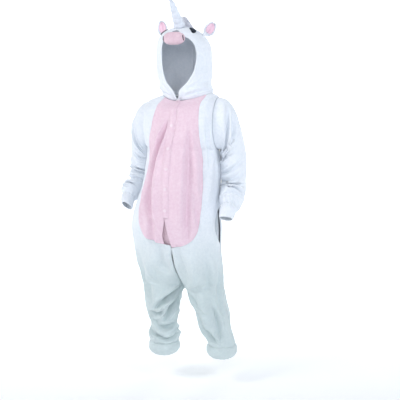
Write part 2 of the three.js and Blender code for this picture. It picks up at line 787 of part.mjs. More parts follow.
// Each eye is a domed oval of felt on the slope of the crown.
const eye = {
  left: { row: 7.9, share: 0.46 }, right: { row: 7.65, share: 0.45 },
  long: 27, high: 11, turn: 28, sides: 14,
};
const eyeRings = table('size up', [[0.08, 0], [0.55, 0], [1, 0], [1, 1.4], [0.6, 2.8], [0.08, 3.4]]);

for (const name of Object.keys(sides)) {
  const { row, share } = eye[name];
  const { acrossStep, upStep } = hoodSteps(name, share, row);
  const turn = THREE.MathUtils.degToRad(eye.turn);
  const rings = eyeRings.map(({ size, up }) => range(eye.sides).slice(0, -1).map((f) => {
    const x = eye.long * size * Math.cos(2 * Math.PI * f);
    const y = eye.high * size * Math.sin(2 * Math.PI * f);
    const across = (x * Math.cos(turn) - y * Math.sin(turn)) / acrossStep;
    const down = (x * Math.sin(turn) + y * Math.cos(turn)) / upStep;
    return onHood(name, share + across, row + down, lift + up);
  }));
  addMesh(`eye_${name}`, loftSolid(rings), black);
}

// ---- the placket and its buttons

const placket = { top: 0.15, foot: 8.1, wide: 24, thick: 2.5 };
const button = { radius: 6, thick: 3, dish: 0.8 };
const buttonHeights = [-20, -104, -184, -254, -324, -399];

// A point over the button line: across is the distance to its left.
function overFront(across, t, offset) {
  const name = across >= 0 ? 'left' : 'right';
  const row = sample(bodyRows[name], t);
  const v = Math.abs(across) / ((row.outer - row.inner) * quarter);
  const at = (a, b) => bodyPoint(name, 'front', a, b);
  return at(v, t).addScaledVector(surfaceNormal(at, v, t, facingOf(name, 'front')), offset);
}

const placketFace = (u, t) => overFront(placket.wide * (u - 0.5), t, lift + placket.thick);
addMesh('placket', clothWall(placketFace, {
  columns: range(4),
  rows: [placket.top, 0.5, 1, ...armholeRows, 5, 6, 7, placket.foot],
  facing: facingOf('left', 'front'),
  thick: placket.thick,
}), pink);

function rowAtHeight(z) {
  let [low, high] = [0, torso.length - 1];
  while (high - low > 0.001) {
    const middle = (low + high) / 2;
    if (sample(torso, middle).zFront > z) low = middle;
    else high = middle;
  }
  return low;
}

const buttonProfile = [
  [0, 0], [button.radius - 0.6, 0], [button.radius, 0.8], [button.radius, button.thick - 0.8],
  [button.radius - 0.8, button.thick], [button.radius - 1.6, button.thick],
  [button.radius - 2.4, button.thick - button.dish], [0, button.thick - button.dish],
].map(([r, y]) => new THREE.Vector2(r, y));

buttonHeights.forEach((z, i) => {
  const t = rowAtHeight(z);
  const face = placketFace(0.5, t);
  const out = overFront(0.01, t, 10).sub(overFront(0.01, t, 0)).normalize();
  const mesh = addMesh(`button_${i + 1}`, new THREE.LatheGeometry(buttonProfile, 14), palePlastic);
  mesh.quaternion.setFromUnitVectors(new THREE.Vector3(0, 1, 0), out);
  mesh.position.copy(face.addScaledVector(out, 2 * lift));
});

export default garment;
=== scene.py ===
import math
import random

import bmesh
import bpy
import numpy as np
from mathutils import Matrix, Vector


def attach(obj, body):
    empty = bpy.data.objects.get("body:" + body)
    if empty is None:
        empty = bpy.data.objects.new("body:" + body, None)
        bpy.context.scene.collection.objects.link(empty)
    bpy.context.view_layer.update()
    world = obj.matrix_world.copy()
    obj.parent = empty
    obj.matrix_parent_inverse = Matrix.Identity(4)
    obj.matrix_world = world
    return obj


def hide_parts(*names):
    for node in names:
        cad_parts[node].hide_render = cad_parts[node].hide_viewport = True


# A child's unicorn onesie in plush fleece, hollow, in the form it keeps when it is worn.
# The wearer faces -Y, the wearer's left is +X, and the origin is the middle of the neck.
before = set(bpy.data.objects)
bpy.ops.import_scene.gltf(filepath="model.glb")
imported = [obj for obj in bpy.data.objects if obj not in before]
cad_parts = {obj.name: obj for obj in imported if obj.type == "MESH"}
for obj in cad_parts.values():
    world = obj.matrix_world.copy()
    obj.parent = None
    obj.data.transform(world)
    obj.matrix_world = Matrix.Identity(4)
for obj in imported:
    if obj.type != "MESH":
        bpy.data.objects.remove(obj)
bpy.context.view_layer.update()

mm = 0.001
signOf = {"left": 1, "right": -1}
wallThick = 3.0                     # the plush with its pile, in mm


# ---- smooth values between the rows of a table

def makeTable(names, rows):
    return {name: np.array([row[i] for row in rows], float) for i, name in enumerate(names.split())}


def easySlope(before, after):
    total = before + after
    safe = np.where(np.abs(total) < 1e-12, 1.0, total)
    return np.where(before * after <= 0, 0.0, 2 * before * after / safe)


def alongValues(values, t):
    t = np.asarray(t, float)
    i = np.clip(np.floor(t).astype(int), 0, len(values) - 2)
    b = values[i]
    c = values[i + 1]
    a = np.where(i > 0, values[np.maximum(i - 1, 0)], 2 * b - c)
    d = np.where(i + 2 < len(values), values[np.minimum(i + 2, len(values) - 1)], 2 * c - b)
    f = t - i
    slope0 = easySlope(b - a, c - b)
    slope1 = easySlope(c - b, d - c)
    return (b * (2 * f**3 - 3 * f**2 + 1) + c * (3 * f**2 - 2 * f**3)
            + slope0 * (f**3 - 2 * f**2 + f) + slope1 * (f**3 - f**2))


def rowAt(rows, t):
    return {name: alongValues(values, t) for name, values in rows.items()}


def ease(x, low, high):
    f = np.clip((np.asarray(x, float) - low) / (high - low), 0, 1)
    return f * f * (3 - 2 * f)


def unit(v):
    return v / np.maximum(np.linalg.norm(v, axis=-1, keepdims=True), 1e-9)


def normalAt(pointAt, u, t, facing):
    step = 0.002
    across = pointAt(u + step, t) - pointAt(u - step, t)
    along = pointAt(u, t + step) - pointAt(u, t - step)
    return unit(np.cross(across, along)) * facing


# ---- the form of the body, the same as the cut of the solid parts

torso = makeTable("zFront zLeft zRight zBack front back left right shift", [
    [-16, 12, 10, 8, 64, 78, 110, 74, 3],              # neck seam
    [-30, 7, 0, -2, 92, 86, 123, 102, 3],              # yoke
    [-46, -4, -14, -24, 112, 92, 134, 131, 3],         # shoulder point
    [-104, -96, -96, -96, 128, 95, 131, 131, 2],       # chest
    [-190, -188, -178, -190, 141, 96, 133, 128, -7],   # underarm
    [-240, -240, -240, -240, 147, 95, 136, 132, -10],
    [-300, -300, -300, -300, 152, 95, 138, 145, -13],  # waist
    [-360, -360, -360, -360, 155, 96, 139, 168, -13],
    [-420, -420, -420, -420, 155, 98, 141, 192, -13],  # top of the pockets
    [-480, -480, -480, -480, 146, 100, 145, 203, -8],
    [-540, -540, -540, -540, 128, 100, 144, 199, 2],   # foot of the belly panel
])
seatNames = "z inner innerFront innerBack crest front back outer turn"
seat = {
    "left": makeTable(seatNames, [
        [-600, 2.3, -100, 86, 36, 112, 96, 147, 0.12],
        [-645, 5.4, -66, 60, 58, 96, 90, 150, 0.25],
        [-672, 7.4, -34, 32, 70, 86, 84, 152, 0.38],
        [-688, 9.4, 0, 0, 78, 79, 78, 154, 0.5],
    ]),
    "right": makeTable(seatNames, [
        [-600, -1.7, -100, 86, 40, 114, 96, 186, 0.12],
        [-645, -4.6, -66, 60, 62, 100, 90, 168, 0.25],
        [-672, -6.6, -34, 32, 72, 90, 84, 158, 0.38],
        [-688, -8.6, 0, 0, 74, 84, 78, 155, 0.5],
    ]),
}
legNames = "z x y wide deep"
legs = {
    "left": makeTable(legNames, [
        [-750, 95, 2, 64, 68],
        [-810, 115, 8, 60, 63],
        [-850, 124, 14, 54, 58],
        [-890, 136, 20, 52, 55],
        [-914, 142, 22, 51, 53],
    ]),
    "right": makeTable(legNames, [
        [-750, 85, -6, 68, 72],
        [-810, 81, -10, 59, 62],
        [-846, 77, -12, 49, 54],
        [-884, 76, -14, 61, 62],
        [-912, 76, -14, 53, 54],
    ]),
}
shoulderRow, underarmRow, crotchRow, ankleRow = 2, 4, 14, 19
armhole = {"left": dict(z=-96, high=92, deep=58), "right": dict(z=-96, high=82, deep=57)}


def bodyTable(name):
    count = len(torso["zFront"])
    inner = torso["shift"] * signOf[name] + 0.15
    flat = np.zeros(count)
    s, g = seat[name], legs[name]
    top = dict(zFront=torso["zFront"], zSide=torso["zLeft" if name == "left" else "zRight"],
               zBack=torso["zBack"], inner=inner, innerFront=-torso["front"], innerBack=torso["back"],
               crest=inner, front=-torso["front"], back=torso["back"], outer=torso[name],
               sideY=flat, turn=flat)
    hip = dict(zFront=s["z"], zSide=s["z"], zBack=s["z"], inner=s["inner"] + 0.15,
               innerFront=s["innerFront"], innerBack=s["innerBack"], crest=s["crest"],
               front=-s["front"], back=s["back"], outer=s["outer"], sideY=np.zeros(4), turn=s["turn"])
    leg = dict(zFront=g["z"], zSide=g["z"], zBack=g["z"], inner=g["x"] - g["wide"], innerFront=g["y"],
               innerBack=g["y"], crest=g["x"], front=g["y"] - g["deep"], back=g["y"] + g["deep"],
               outer=g["x"] + g["wide"], sideY=g["y"], turn=np.full(5, 0.5))
    return {key: np.concatenate([top[key], hip[key], leg[key]]) for key in top}


bodyRows = {name: bodyTable(name) for name in signOf}


def bodyBase(name, face, v, t):
    row = rowAt(bodyRows[name], t)
    isFront = face == "front"
    crestY = row["front"] if isFront else row["back"]
    riseY = row["innerFront"] if isFront else row["innerBack"]
    innerY = np.where(t < crotchRow, riseY, row["sideY"])
    turn = row["turn"]
    crest = np.where(turn > 0, row["crest"], row["inner"])
    hole = armhole[name]
    angle = math.pi * (t - shoulderRow) / (underarmRow - shoulderRow)
    inHole = (t > shoulderRow) & (t < underarmRow)
    edgeY = hole["deep"] * np.sin(angle) * (-1 if isFront else 1)
    sideY = np.where(inHole, edgeY, row["sideY"])
    zSide = np.where(inHole, hole["z"] + hole["high"] * np.cos(angle), row["zSide"])
    isInner = (turn > 0) & (v < turn)
    safeTurn = np.where(turn > 0, turn, 1.0)
    a = 0.5 * math.pi * v / safeTurn
    b = 0.5 * math.pi * (v - turn) / (1 - turn)
    x = np.where(isInner, crest + (row["inner"] - crest) * np.cos(a),
                 crest + (row["outer"] - crest) * np.sin(b))
    y = np.where(isInner, innerY + (crestY - innerY) * np.sin(a),
                 sideY + (crestY - sideY) * np.cos(b))
    zMiddle = row["zFront"] if isFront else row["zBack"]
    z = zMiddle + (zSide - zMiddle) * np.sin(0.5 * math.pi * v) ** 2
    return np.stack([x * signOf[name], y, z], -1)


def facingOf(name, face):
    return signOf[name] * (-1 if face == "front" else 1)


# ---- creases

# Each crease runs through three points (v, z). A positive depth is a trough and a
# negative one is a ridge; width is half its breadth. All in mm apart from v.
creaseNames = "v0 z0 v1 z1 v2 z2 depth width"
creases = {
    "left_front": makeTable(creaseNames, [
        [0.34, -110, 0.365, -290, 0.29, -520, 8.0, 13],    # shade beside the placket
        [0.215, -150, 0.235, -330, 0.2, -510, -4.0, 20],   # lit roll next to it
        [0.45, -300, 0.47, -400, 0.5, -470, 4.0, 9],
        [0.07, -40, 0.06, -90, 0.05, -150, 2.5, 8],
        [0.72, -70, 0.75, -160, 0.7, -260, 4.5, 12],       # chest, beside the sleeve
        [0.78, -200, 0.72, -300, 0.66, -390, -3.5, 16],
        [0.62, -120, 0.58, -260, 0.6, -380, 2.5, 11],
        [0.52, -545, 0.6, -620, 0.72, -700, 6.0, 20],      # from the belly's foot to the hip
        [0.3, -560, 0.32, -620, 0.42, -700, -5.0, 18],
        [0.1, -520, 0.12, -570, 0.2, -640, 4.0, 12],
        [0.1, -700, 0.3, -740, 0.55, -790, 4.5, 14],
        [0.55, -700, 0.5, -780, 0.42, -850, -4.5, 20],
        [0.2, -790, 0.36, -850, 0.54, -903, 6.5, 13],      # down to the cuff
        [0.7, -760, 0.68, -830, 0.62, -895, 4.0, 13],
        [0.05, -820, 0.16, -860, 0.3, -898, 3.5, 10],
        [0.85, -600, 0.88, -700, 0.84, -800, 3.5, 14],
    ]),
    "right_front": makeTable(creaseNames, [
        [0.02, -70, 0.21, -190, 0.31, -300, 10.5, 10],     # long fold from the collar
        [0.31, -285, 0.265, -370, 0.2, -455, 10.0, 11],
        [0.205, -430, 0.21, -480, 0.24, -528, 8.0, 11],
        [0.13, -150, 0.17, -300, 0.12, -440, -3.5, 14],    # lit flats each side of it
        [0.34, -190, 0.41, -330, 0.37, -480, -4.5, 14],
        [0.5, -160, 0.53, -280, 0.5, -380, 2.5, 10],
        [0.66, -110, 0.68, -190, 0.72, -280, 3.5, 11],
        [0.14, -528, 0.12, -570, 0.12, -640, 6.5, 13],     # below the belly panel
        [0.3, -540, 0.34, -600, 0.4, -660, -4.0, 18],
        [0.55, -550, 0.62, -620, 0.74, -700, 4.0, 18],
        [0.02, -672, 0.22, -722, 0.5, -780, 8.5, 12],      # from the crotch to the shin
        [0.02, -716, 0.18, -764, 0.36, -826, 7.5, 11],
        [0.08, -700, 0.3, -748, 0.52, -800, -4.0, 9],
        [0.68, -790, 0.5, -799, 0.34, -786, 4.5, 8],
        [0.7, -640, 0.66, -700, 0.56, -760, 3.5, 15],
        [0.62, -862, 0.36, -896, 0.04, -868, 6.0, 8],      # slump over the cuff
        [0.85, -846, 0.6, -876, 0.3, -880, 3.5, 7],
        [0.04, -835, 0.3, -850, 0.6, -838, 5.0, 9],
        [0.8, -800, 0.62, -826, 0.4, -834, 3.5, 9],
    ]),
    "left_back": makeTable(creaseNames, [
        [0.5, -170, 0.42, -340, 0.3, -500, 8.0, 17],
        [0.2, -120, 0.24, -280, 0.16, -430, -4.0, 20],
        [0.75, -190, 0.7, -290, 0.74, -400, 4.5, 14],
        [0.93, -170, 0.92, -270, 0.93, -370, -2.2, 16],
        [0.6, -540, 0.45, -640, 0.3, -760, 7.0, 17],
        [0.12, -560, 0.2, -640, 0.3, -700, 5.0, 14],
        [0.1, -700, 0.3, -740, 0.6, -790, 5.5, 12],
        [0.8, -700, 0.7, -780, 0.6, -860, 4.5, 14],
        [0.15, -830, 0.4, -870, 0.7, -890, 4.5, 10],
        [0.1, -30, 0.35, -70, 0.6, -80, 3.0, 12],
    ]),
    "right_back": makeTable(creaseNames, [
        [0.55, -190, 0.44, -350, 0.4, -520, 8.0, 17],
        [0.18, -140, 0.2, -300, 0.26, -450, -4.0, 20],
        [0.78, -200, 0.74, -300, 0.8, -420, 4.5, 13],
        [0.5, -560, 0.58, -660, 0.7, -780, 7.0, 17],
        [0.1, -580, 0.18, -650, 0.2, -720, 5.0, 13],
        [0.06, -720, 0.3, -752, 0.6, -770, 6.0, 11],
        [0.1, -780, 0.4, -815, 0.7, -822, 5.0, 10],
        [0.05, -862, 0.4, -888, 0.8, -868, 5.0, 9],
        [0.1, -34, 0.35, -66, 0.6, -84, 3.0, 12],
    ]),
}
bodyReach = 215.0
creaseGain = 2.0


# depth of a set of creases at (p, q); reach turns one unit of p into mm
def creaseDepth(rows, p, q, reach):
    depth = np.zeros(np.broadcast(p, q).shape)
    for k in range(len(rows["depth"])):
        v0, z0, v1, z1, v2, z2, deep, width = (rows[name][k] for name in creaseNames.split())
        run = abs(v2 - v0) * reach
        drop = abs(z2 - z0)
        through = lambda a, p0, p1, p2: (p0 * (1 - a) * (1 - 2 * a) + p1 * 4 * a * (1 - a)
                                         + p2 * a * (2 * a - 1))
        if drop >= run:
            a = (q - z0) / (z2 - z0)
            ac = np.clip(a, 0, 1)
            off = (p - through(ac, v0, v1, v2)) * reach
            slant = drop / math.hypot(drop, run)
        else:
            a = (p - v0) / (v2 - v0)
            ac = np.clip(a, 0, 1)
            off = q - through(ac, z0, z1, z2)
            slant = run / math.hypot(drop, run)
        spread = 0.55 + 0.45 * np.sin(math.pi * ac)
        off = off * slant / (width * spread)
        fade = np.where((a > 0) & (a < 1), np.sin(math.pi * ac) ** 0.7, 0)
        profile = np.exp(-off * off) - 0.32 * np.exp(-((np.abs(off) - 1.75) ** 2) * 1.2)
        depth += deep * creaseGain * fade * profile
    return depth


# soft unevenness of plush that hangs: a few crossing waves, the same on each run
def unevenness(seed, p, q, size, steps=((1, 1.0), (2.1, 0.5), (4.3, 0.22))):
    chance = np.random.RandomState(seed)
    total = np.zeros(np.broadcast(p, q).shape)
    for scale, strength in steps:
        for _ in range(4):
            angle = chance.uniform(0, math.pi)
            phase = chance.uniform(0, 2 * math.pi)
            pace = chance.uniform(0.7, 1.3) * 2 * math.pi * scale / size
            total = total + strength * np.sin((p * math.cos(angle) + q * math.sin(angle)) * pace + phase)
    return total / 4


seedOf = {"left_front": 3, "right_front": 5, "left_back": 8, "right_back": 13}


def bodyPoint(name, face, v, t, seamDip=0.8):
    plain = lambda a, b: bodyBase(name, face, a, b)
    base = plain(v, t)
    z = base[..., 2]
    key = f"{name}_{face}"
    depth = creaseDepth(creases[key], v, z, bodyReach) * (1 + 1.1 * ease(-z, 560, 700))
    depth = depth + 1.5 * unevenness(seedOf[key], v * bodyReach, z, 130)
    fromSeam = np.minimum(v, 1 - v)
    depth = depth * ease(fromSeam, 0, 0.1) + seamDip * np.exp(-((fromSeam * bodyReach / 2.4) ** 2))
    neckFade = ease(t, 0, 0.8) * ease(ankleRow - t, 0, 0.3)
    return base - normalAt(plain, v, t, facingOf(name, face)) * (depth * (0.3 + 0.7 * neckFade))[..., None]


# ---- closed shells from grids of points

def link(name, mesh):
    piece = bpy.data.objects.new(name, mesh)
    bpy.context.scene.collection.objects.link(piece)
    return piece


def meshFrom(name, points, faces, smooth=True):
    mesh = bpy.data.meshes.new(name)
    mesh.from_pydata((np.asarray(points) * mm).tolist(), [], faces)
    mesh.validate()
    if smooth:
        mesh.polygons.foreach_set("use_smooth", [True] * len(mesh.polygons))
    build = bmesh.new()
    build.from_mesh(mesh)
    bmesh.ops.recalc_face_normals(build, faces=build.faces)
    build.to_mesh(mesh)
    build.free()
    mesh.update()
    return link(name, mesh)


# A wall of cloth: outer face at pointAt, inner face one thickness inside, and a rounded
# edge all round. A tube joins its last column to its first.
def clothShell(name, pointAt, us, ts, facing, tube=False, thick=wallThick, openEnds=None):
    u, t = np.meshgrid(np.asarray(us, float), np.asarray(ts, float))
    outer = pointAt(u, t)
    normal = normalAt(pointAt, u, t, facing)
    rows, columns = u.shape
    layers = [outer, outer - normal * thick]
    rim = 0.5 * (outer + layers[1])
    if tube:
        for j, other in ((0, 1), (rows - 1, rows - 2)):
            away = unit(outer[j] - outer[other])
            rim[j] += away * thick * 0.35
    points = np.concatenate([outer.reshape(-1, 3), layers[1].reshape(-1, 3), rim.reshape(-1, 3)])
    size = rows * columns
    index = lambda layer, j, i: layer * size + j * columns + i % columns
    faces = []
    lastColumn = columns if tube else columns - 1
    for j in range(rows - 1):
        for i in range(lastColumn):
            a, b, c, d = (index(0, j, i), index(0, j, i + 1), index(0, j + 1, i + 1), index(0, j + 1, i))
            faces.append((a, b, c, d))
            faces.append((size + d, size + c, size + b, size + a))
    border = []
    for i in range(lastColumn):
        border.append(((0, i), (0, i + 1)))
        border.append(((rows - 1, i + 1), (rows - 1, i)))
    if not tube:
        for j in range(rows - 1):
            border.append(((j + 1, 0), (j, 0)))
            border.append(((j, columns - 1), (j + 1, columns - 1)))
    for (ja, ia), (jb, ib) in border:
        for low, high in ((0, 2), (2, 1)):
            faces.append((index(low, jb, ib), index(low, ja, ia), index(high, ja, ia), index(high, jb, ib)))
    used = sorted({k for face in faces for k in face})
    renumber = {k: n for n, k in enumerate(used)}
    faces = [tuple(renumber[k] for k in face) for face in faces]
    return meshFrom(name, points[used], faces)


# a closed solid through rings of points
def loft(name, rings, smooth=True):
    rings = [np.asarray(ring, float) for ring in rings]
    count = len(rings[0])
    points = np.concatenate(rings)
    faces = []
    for j in range(len(rings) - 1):
        for i in range(count):
            n = (i + 1) % count
            faces.append((j * count + i, j * count + n, (j + 1) * count + n, (j + 1) * count + i))
    faces.append(tuple(range(count))[::-1])
    faces.append(tuple(range((len(rings) - 1) * count, len(rings) * count)))
    return meshFrom(name, points, faces, smooth)


def spread(low, high, count):
    return np.linspace(low, high, count)


# ---- materials

def linearColour(hexCode):
    channels = [int(hexCode[i:i + 2], 16) / 255 for i in (0, 2, 4)]
    return tuple(c / 12.92 if c <= 0.04045 else ((c + 0.055) / 1.055) ** 2.4 for c in channels) + (1.0,)


def addNode(material, kind, settings=None, links=None, **values):
    node = material.node_tree.nodes.new(kind)
    for key, value in (settings or {}).items():
        setattr(node, key, value)
    for key, value in values.items():
        node.inputs[key.replace("_", " ")].default_value = value
    for key, source in (links or {}).items():
        node.inputs[key].default_value if False else None
        material.node_tree.links.new(source, node.inputs[key])
    return node


def newMaterial(name):
    material = bpy.data.materials.new(name)
    material.use_nodes = True
    shader = material.node_tree.nodes["Principled BSDF"]
    return material, shader


# Short-pile plush, knitted and then raised and sheared: a matt, cloudy face whose pile
# lies in small clumps, pale at the tips and a little deeper where it parts.
def plushMaterial(name, look):
    material, shader = newMaterial(name)
    place = addNode(material, "ShaderNodeTexCoord").outputs["Object"]
    clumps = addNode(material, "ShaderNodeTexNoise", links={"Vector": place}, Scale=1000 / look["clumpMm"],
                     Detail=5.0, Roughness=0.62)
    cloud = addNode(material, "ShaderNodeTexNoise", links={"Vector": place}, Scale=1000 / look["cloudMm"],
                    Detail=3.0, Roughness=0.5)
    pile = addNode(material, "ShaderNodeTexNoise", links={"Vector": place}, Scale=1000 / look["pileMm"],
                   Detail=2.0, Roughness=0.7)
    nap = addNode(material, "ShaderNodeValToRGB", links={"Fac": clumps.outputs["Fac"]})
    nap.color_ramp.elements[0].position = 0.3
    nap.color_ramp.elements[0].color = linearColour(look["parting"])
    nap.color_ramp.elements[1].position = 0.62
    nap.color_ramp.elements[1].color = linearColour(look["tips"])
    tone = addNode(material, "ShaderNodeValToRGB", links={"Fac": cloud.outputs["Fac"]})
    tone.color_ramp.elements[0].position = 0.35
    tone.color_ramp.elements[0].color = linearColour(look["dull"])
    tone.color_ramp.elements[1].position = 0.65
    tone.color_ramp.elements[1].color = linearColour(look["tips"])
    mix = addNode(material, "ShaderNodeMix", {"data_type": "RGBA"},)
    mix.inputs[0].default_value = 0.45
    material.node_tree.links.new(nap.outputs["Color"], mix.inputs[6])
    material.node_tree.links.new(tone.outputs["Color"], mix.inputs[7])
    colour = mix.outputs[2]
    if "worn" in look:
        # painted shade: the white plush is greyed from the hips down, standing in for the light falling off towards
        # the legs
        height = addNode(material, "ShaderNodeSeparateXYZ", links={"Vector": place})
        low = addNode(material, "ShaderNodeMapRange", {"interpolation_type": "SMOOTHSTEP"},
                      {"Value": height.outputs["Z"]})
        low.inputs["From Min"].default_value = look["wornTop"]
        low.inputs["From Max"].default_value = look["wornFoot"]
        paintedShadeMix = addNode(material, "ShaderNodeMix", {"data_type": "RGBA", "blend_type": "MULTIPLY"})
        paintedShadeMix.inputs[7].default_value = linearColour(look["worn"])
        material.node_tree.links.new(low.outputs["Result"], paintedShadeMix.inputs[0])
        material.node_tree.links.new(colour, paintedShadeMix.inputs[6])
        colour = paintedShadeMix.outputs[2]
    material.node_tree.links.new(colour, shader.inputs["Base Color"])
    lumps = addNode(material, "ShaderNodeBump", links={"Height": clumps.outputs["Fac"]},
                    Strength=look["clumpBump"], Distance=0.004)
    fibres = addNode(material, "ShaderNodeBump",
                     links={"Height": pile.outputs["Fac"], "Normal": lumps.outputs["Normal"]},
                     Strength=look["pileBump"], Distance=0.0015)
    material.node_tree.links.new(fibres.outputs["Normal"], shader.inputs["Normal"])
    shader.inputs["Roughness"].default_value = 0.95
    shader.inputs["IOR"].default_value = 1.45
    shader.inputs["Specular IOR Level"].default_value = 0.15
    shader.inputs["Sheen Weight"].default_value = look["sheen"]
    shader.inputs["Sheen Roughness"].default_value = 0.6
    shader.inputs["Sheen Tint"].default_value = linearColour(look["sheenTint"])
    return material


plushLooks = {
    # worn, wornTop and wornFoot give a painted shade that greys the white plush from the hips down
    "whitePlush": dict(worn="DDE6E1", wornTop=-0.38, wornFoot=-0.72, tips="EEF3FA", parting="DEE6F0", dull="E5ECF4", sheenTint="FFFFFF", sheen=0.35,
                       clumpMm=9, cloudMm=70, pileMm=2.2, clumpBump=0.35, pileBump=0.35),
    "pinkPlush": dict(tips="EFD8E4", parting="E3C3D4", dull="E8CDDC", sheenTint="FFF2FA", sheen=0.35,
                      clumpMm=9, cloudMm=70, pileMm=2.2, clumpBump=0.35, pileBump=0.35),
    "rosePlush": dict(tips="E4CBD6", parting="D3B2C1", dull="DBC0CC", sheenTint="FFF0F6", sheen=0.3,
                      clumpMm=8, cloudMm=40, pileMm=2.2, clumpBump=0.35, pileBump=0.35),
    "lilacPile": dict(tips="DCDEE8", parting="BDC0CD", dull="CDD0DB", sheenTint="FFFFFF", sheen=0.4,
                      clumpMm=6, cloudMm=40, pileMm=2, clumpBump=0.5, pileBump=0.5),
    "hornFleece": dict(tips="E9EFF8", parting="CDD5E3", dull="DCE3EE", sheenTint="FFFFFF", sheen=0.3,
                       clumpMm=7, cloudMm=30, pileMm=2, clumpBump=0.25, pileBump=0.3),
    "earPink": dict(tips="FBDDEC", parting="F0C4DA", dull="F5D0E2", sheenTint="FFF2FA", sheen=0.3,
                    clumpMm=6, cloudMm=30, pileMm=2, clumpBump=0.35, pileBump=0.35),
    "liningKnit": dict(tips="D5DCE3", parting="BBC5CE", dull="C8D0D8", sheenTint="FFFFFF", sheen=0.1,
                       clumpMm=4, cloudMm=50, pileMm=1.5, clumpBump=0.15, pileBump=0.2),
    "eyeFelt": dict(tips="2B323C", parting="171B22", dull="222831", sheenTint="9AA4B4", sheen=0.25,
                    clumpMm=3, cloudMm=15, pileMm=1, clumpBump=0.2, pileBump=0.3),
}
plush = {name: plushMaterial(name, look) for name, look in plushLooks.items()}


# Cast polyester resin, tumbled smooth: pale, with a soft gloss and a faint milky cloud.
def resinMaterial():
    material, shader = newMaterial("castResin")
    place = addNode(material, "ShaderNodeTexCoord").outputs["Object"]
    cloud = addNode(material, "ShaderNodeTexNoise", links={"Vector": place}, Scale=250.0, Detail=3.0)
    milk = addNode(material, "ShaderNodeValToRGB", links={"Fac": cloud.outputs["Fac"]})
    milk.color_ramp.elements[0].color = linearColour("E9CFDD")
    milk.color_ramp.elements[1].color = linearColour("F8EBF3")
    material.node_tree.links.new(milk.outputs["Color"], shader.inputs["Base Color"])
    shader.inputs["Roughness"].default_value = 0.38
    shader.inputs["IOR"].default_value = 1.55
    shader.inputs["Coat Weight"].default_value = 0.15
    return material


resin = resinMaterial()
print("materials ready:", len(plush) + 1)


def finish(piece, material, nodes):
    piece.data.materials.append(material)
    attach(piece, "root")
    if nodes:
        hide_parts(*nodes)
    return piece


# ---- fronts, belly and backs

bellyWidth = makeTable("left right", [
    [0.7, 0.55], [0.6, 0.42], [0.5, 0.34], [0.53, 0.41], [0.59, 0.53], [0.61, 0.53],
    [0.61, 0.47], [0.59, 0.44], [0.54, 0.42], [0.51, 0.41], [0.51, 0.41],
])
belly = {
    "foot": {"left": 9.88, "right": 9.7},   # row of its lowest point
    "square": {"left": 2.2, "right": 2.9},
    "round": 8.2,                           # row where its foot starts to round
    "slitTop": 8.06, "slitLong": 1.5, "slitWide": {"left": 0.01, "right": 0.075},
    "columns": 44, "rows": 150,
}
pocket = {"top": 7.6, "bottom": 9.9, "bow": 0.19, "bag": 0.5, "deep": 16, "thick": 1.5}


def bellyEdge(name, t):
    width = alongValues(bellyWidth[name], np.minimum(t, 10))
    down = np.clip((t - belly["round"]) / (belly["foot"][name] - belly["round"]), 0, None)
    power = belly["square"][name]
    return width * np.maximum(0, 1 - down ** power) ** (1 / power)


def slitEdge(name, t):
    return belly["slitWide"][name] * ease(t, belly["slitTop"], belly["slitTop"] + belly["slitLong"])


def pocketBow(t):
    along = np.clip((t - pocket["top"]) / (pocket["bottom"] - pocket["top"]), 0, 1)
    return pocket["bow"] * np.sin(math.pi * along) ** 0.8


# rows gathered where the rounded foot of the belly needs them
def bodyRowsFor(name, foot):
    fine = foot - 0.5 * (1 - np.linspace(0, 1, 16)) ** 2 * 1.0
    upper = np.linspace(0, foot - 0.5, belly["rows"])
    return np.concatenate([upper, fine[1:]])


for name in signOf:
    foot = belly["foot"][name]
    pinkRows = bodyRowsFor(name, foot - 0.004)

    def pinkPoint(u, t):
        start = slitEdge(name, t)
        v = start + (bellyEdge(name, t) - start) * u
        point = bodyPoint(name, "front", v, t)
        # the seam edge rolls in where the pink meets the white
        roll = 1.1 * np.exp(-(((1 - u) * bellyEdge(name, t) * bodyReach / 3.0) ** 2))
        return point - normalAt(lambda a, b: bodyBase(name, "front", a, b), v, t,
                                facingOf(name, "front")) * roll[..., None]

    piece = clothShell(f"bellyPanel_{name}", pinkPoint, spread(0.0, 0.9993, belly["columns"]), pinkRows,
                       facingOf(name, "front"))
    finish(piece, plush["pinkPlush"], [f"belly_{name}"])

    def whitePoint(u, t):
        start = bellyEdge(name, t - 0.008)
        v = start + (1 - pocketBow(t) - start) * u
        point = bodyPoint(name, "front", v, t)
        edge = np.where(start > 0.001, u * (1 - start) * bodyReach, 99)
        mouth = np.where(pocketBow(t) > 0, (1 - u) * (1 - start) * bodyReach, 99)
        roll = 1.1 * np.exp(-((edge / 3.0) ** 2)) + 1.2 * np.exp(-((mouth / 2.5) ** 2))
        groove = 1.0 * np.exp(-(((mouth - 13) / 1.8) ** 2))   # topstitching round the pocket
        return point - normalAt(lambda a, b: bodyBase(name, "front", a, b), v, t,
                                facingOf(name, "front")) * (roll + groove)[..., None]

    whiteRows = np.concatenate([bodyRowsFor(name, foot), np.linspace(foot, ankleRow, 120)[1:]])
    piece = clothShell(f"frontPanel_{name}", whitePoint, spread(0.0007, 0.9994, 44), whiteRows,
                       facingOf(name, "front"))
    finish(piece, plush["whitePlush"], [f"front_{name}"])

    piece = clothShell(f"backPanel_{name}", lambda u, t: bodyPoint(name, "back", u, t),
                       spread(0.0, 0.9996, 56), np.linspace(0, ankleRow, 230), facingOf(name, "back"))
    finish(piece, plush["whitePlush"], [f"back_{name}"])
print("body panels sewn")


